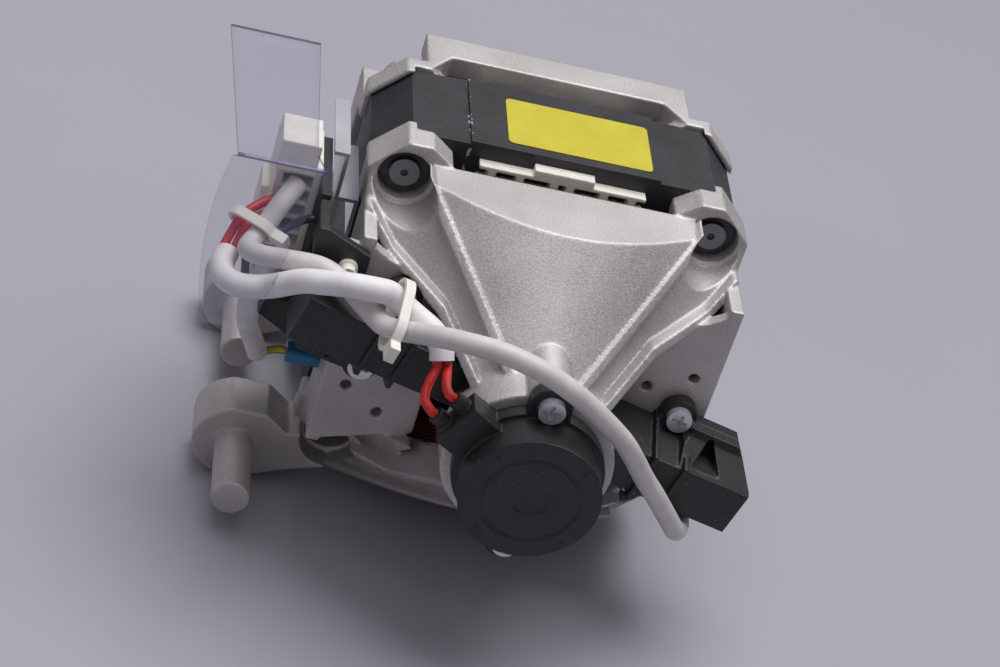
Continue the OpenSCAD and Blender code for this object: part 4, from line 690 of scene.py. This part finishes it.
# Drawn spring wire: a clean grey with a bright line on each turn
spring_wire = grained("drawn_spring_wire", "#85878c", "#a0a2a8", patch_mm=2.0, grain_mm=0.4, depth_mm=0.01,
                      rough=(0.22, 0.34), metallic=1.0)
for side, sign in (("right", 1), ("left", -1)):
    along = sign * Vector((math.cos(BRUSH_SLOPE), 0, -math.sin(BRUSH_SLOPE)))
    across = Vector((0, 1, 0)).cross(along)
    middle = in_frame([(0, BRUSH_LINE_Y_MM, 0)])[0]
    helix = []
    steps = SPRING_STEPS * SPRING_TURNS
    for share in (k / steps for k in range(steps + 1)):
        a = 2 * math.pi * SPRING_TURNS * share
        reach = SPRING_FROM_MM + (SPRING_TO_MM - SPRING_FROM_MM) * share
        swing = SPRING_MIDDLE_MM / 2 * (math.cos(a) * Vector((0, 1, 0)) + math.sin(a) * across)
        helix.append(middle + (reach * along + swing) / 1000)
    spring = tube(f"brush_spring_{side}_wire", helix, SPRING_WIRE_MM / 2000, spring_wire, SPRING_WIRE_SIDES)
    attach(spring, "stator")
    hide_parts(f"brush_spring_{side}")
    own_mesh(spring)

# Connector: a white nylon housing with a column of seven ways, moulded in the insulators' material.
# It stands on the black bracket, which a split nylon push pin holds on the shield.
rounded_copy("connector_housing", "stator", white_nylon, cell_mm=0.28, passes=2, keep=0.3)
finish_nodes(["push_pin"], white_nylon)

# Drip cover: a clear PVC sheet, cut out and creased once.
# Its roof lies on the connector's top, and its front flap hangs over the leads.
COVER_MM = 0.8
COVER_MIDDLE_Z_MM = 54.7
COVER_BACK_Y_MM, CREASE_Y_MM = 40.0, -30.0
COVER_LEFT_MM, COVER_CREASE_LEFT_MM = -100.0, -95.5
COVER_RIGHT_MM, COVER_CREASE_RIGHT_MM, COVER_FOOT_RIGHT_MM = -73.0, -70.0, -83.0
COVER_FLARE_MM = 3.0
FLAP_MM = 47.0
FLAP_LEAN = math.radians(33)
FLAP_EDGE_R_MM = 86.0
CREASE_R_MM = 1.0
CREASE_STEPS = 5
COVER_COLUMNS = 10
ROOF_STEPS = 10
FLAP_STEPS = 12
# Clear PVC sheet: smooth and nearly clear face on, with a faint violet veil
clear_sheet = grained("clear_pvc_sheet", "#77749c", "#918eb4", patch_mm=30.0, grain_mm=9.0, depth_mm=0.02,
                      rough=(0.05, 0.1), ior=1.5, alpha=0.11)
# Violet sheet edge: light that runs inside the sheet leaves at its cut edges and its crease, and there it is
# a painted dark violet line
sheet_edge = grained("violet_sheet_edge", "#45406e", "#5f588f", patch_mm=20.0, grain_mm=6.0, depth_mm=0.02,
                     rough=(0.1, 0.2), ior=1.5, alpha=0.7)
bend = math.pi / 2 - FLAP_LEAN
lead_in = CREASE_R_MM * math.tan(bend / 2)
rows = []
for share in (k / ROOF_STEPS for k in range(ROOF_STEPS + 1)):
    y = COVER_BACK_Y_MM + (CREASE_Y_MM + lead_in - COVER_BACK_Y_MM) * share
    left = COVER_LEFT_MM + (COVER_CREASE_LEFT_MM - COVER_LEFT_MM) * share
    right = COVER_RIGHT_MM + max(0, CREASE_Y_MM + COVER_FLARE_MM - y)
    rows.append((left, right, y, COVER_MIDDLE_Z_MM))
for a in (bend * k / CREASE_STEPS for k in range(1, CREASE_STEPS)):
    y = CREASE_Y_MM + lead_in - CREASE_R_MM * math.sin(a)
    z = COVER_MIDDLE_Z_MM - CREASE_R_MM * (1 - math.cos(a))
    rows.append((COVER_CREASE_LEFT_MM, COVER_CREASE_RIGHT_MM, y, z))
for share in (k / FLAP_STEPS for k in range(FLAP_STEPS + 1)):
    drop = lead_in + (FLAP_MM - lead_in) * share
    bulge = math.sqrt(FLAP_EDGE_R_MM ** 2 - (FLAP_MM / 2 - drop) ** 2)
    left = COVER_LEFT_MM + FLAP_EDGE_R_MM - bulge
    right = COVER_CREASE_RIGHT_MM + (COVER_FOOT_RIGHT_MM - COVER_CREASE_RIGHT_MM) * drop / FLAP_MM
    y = CREASE_Y_MM - drop * math.sin(FLAP_LEAN)
    rows.append((left, right, y, COVER_MIDDLE_Z_MM - drop * math.cos(FLAP_LEAN)))
mesh = bmesh.new()
grid = []
for left, right, y, z in rows:
    shares = [k / COVER_COLUMNS for k in range(COVER_COLUMNS + 1)]
    grid.append([mesh.verts.new(p) for p in in_frame([(left + (right - left) * t, y, z) for t in shares])])
for row, (near, far) in enumerate(zip(grid, grid[1:])):
    for k in range(COVER_COLUMNS):
        face = mesh.faces.new((near[k], near[k + 1], far[k + 1], far[k]))
        # The crease's rows take the edge material: a painted dark line along the fold
        face.material_index = int(ROOF_STEPS <= row < ROOF_STEPS + CREASE_STEPS)
cover = piece_of(mesh, "drip_cover_sheet", clear_sheet, sheet_edge)
body = cover.modifiers.new("thickness", "SOLIDIFY")
body.thickness = COVER_MM / 1000
body.offset = 0.0
body.material_offset_rim = 1
cover.data = bpy.data.meshes.new_from_object(cover.evaluated_get(bpy.context.evaluated_depsgraph_get()))
cover.modifiers.clear()
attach(cover, "stator")
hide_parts("drip_cover")

# Earth strip and terminal: a folded strip of zinc-plated steel on the stack's left side, and the tab terminal
# of the earth wire, in a soft blue sleeve against the shield's side wall.
finish_nodes(["earth_tab"], bright_zinc)
# Translucent blue PVC: soft and glossy, with some light passing through it
blue_sleeve = grained("translucent_blue_pvc", "#2c78ad", "#3a8dbf",
                      patch_mm=9.0, grain_mm=2.0, depth_mm=0.01,
                      rough=(0.25, 0.33), ior=1.5, transmission_weight=0.25)
rounded_copy("earth_terminal", "stator", blue_sleeve, cell_mm=0.3, passes=4, keep=0.6)

# Cable ties: bands of undyed nylon, each moulded with its square ratchet head. The upper one holds the grey
# sleeve and the two red wires beside it, and the middle one the white and the grey sleeve.
# Natural nylon: a milky, slightly warm white with a satin shine
natural_nylon = grained("natural_nylon", "#e9e6dc", "#f3f1ea", patch_mm=4.0, grain_mm=0.8, depth_mm=0.02,
                        rough=(0.32, 0.45), ior=1.53)
for node in ("cable_tie_upper", "cable_tie_middle"):
    rounded_copy(node, "stator", natural_nylon, cell_mm=0.16, passes=2, keep=0.4)

# Floor: a plain pale table top, wide enough to fill every view.
# The motor stands on it by the bosses of its support pins.
FLOOR_HALF_M = 4.0
FLOOR_GAP_MM = 0.2
floor_mesh = bpy.data.meshes.new("floor")
corner_points = [(x * FLOOR_HALF_M, y * FLOOR_HALF_M, 0) for x, y in ((-1, -1), (1, -1), (1, 1), (-1, 1))]
floor_mesh.from_pydata(corner_points, [], [(0, 1, 2, 3)])
floor = bpy.data.objects.new("floor", floor_mesh)
bpy.context.scene.collection.objects.link(floor)
floor.location.z = cad_box[0].z - FLOOR_GAP_MM / 1000
# Pale grey table: painted matt and even, so that it takes the shadow and mirrors nothing
matt_paint = grained("pale_grey_table", "#a3a1ab", "#a9a7b1", patch_mm=300.0, grain_mm=2.0, depth_mm=0.01,
                     rough=(0.5, 0.6))
floor_mesh.materials.append(matt_paint)

# Lights: one wide soft box overhead, a little to the right and behind, and a faint one in front.
# The world is a plain studio, pale overhead and dimmer towards the floor.
ZENITH_LEVEL, HORIZON_LEVEL = 0.6, 0.03
LIT_POINT = Vector((-0.02, -0.09, 0))
world = bpy.data.worlds.new("studio")
world.use_nodes = True
tree = world.node_tree
background = tree.nodes["Background"]
background.inputs["Color"].default_value = linear("#ebeaf0")
around = add(tree, "ShaderNodeTexCoord")
height = add(tree, "ShaderNodeSeparateXYZ", {}, {"Vector": (around, "Generated")})
level = add(tree, "ShaderNodeMapRange", {"To Min": HORIZON_LEVEL, "To Max": ZENITH_LEVEL},
            {"Value": (height, "Z")})
tree.links.new(level.outputs["Result"], background.inputs["Strength"])
bpy.context.scene.world = world
for name, place_m, size_m, watts in (("soft_box", (0.12, 0.12, 1.25), 1.0, 15.0),
                                     ("front_fill", (-0.7, -1.3, 0.8), 0.8, 0.4)):
    lamp = bpy.data.lights.new(name, "AREA")
    lamp.size = size_m
    lamp.energy = watts
    holder = bpy.data.objects.new(name, lamp)
    bpy.context.scene.collection.objects.link(holder)
    holder.location = place_m
    aim = LIT_POINT - holder.location
    holder.rotation_euler = aim.to_track_quat("-Z", "Y").to_euler()

bpy.context.scene.view_settings.view_transform = "Standard"
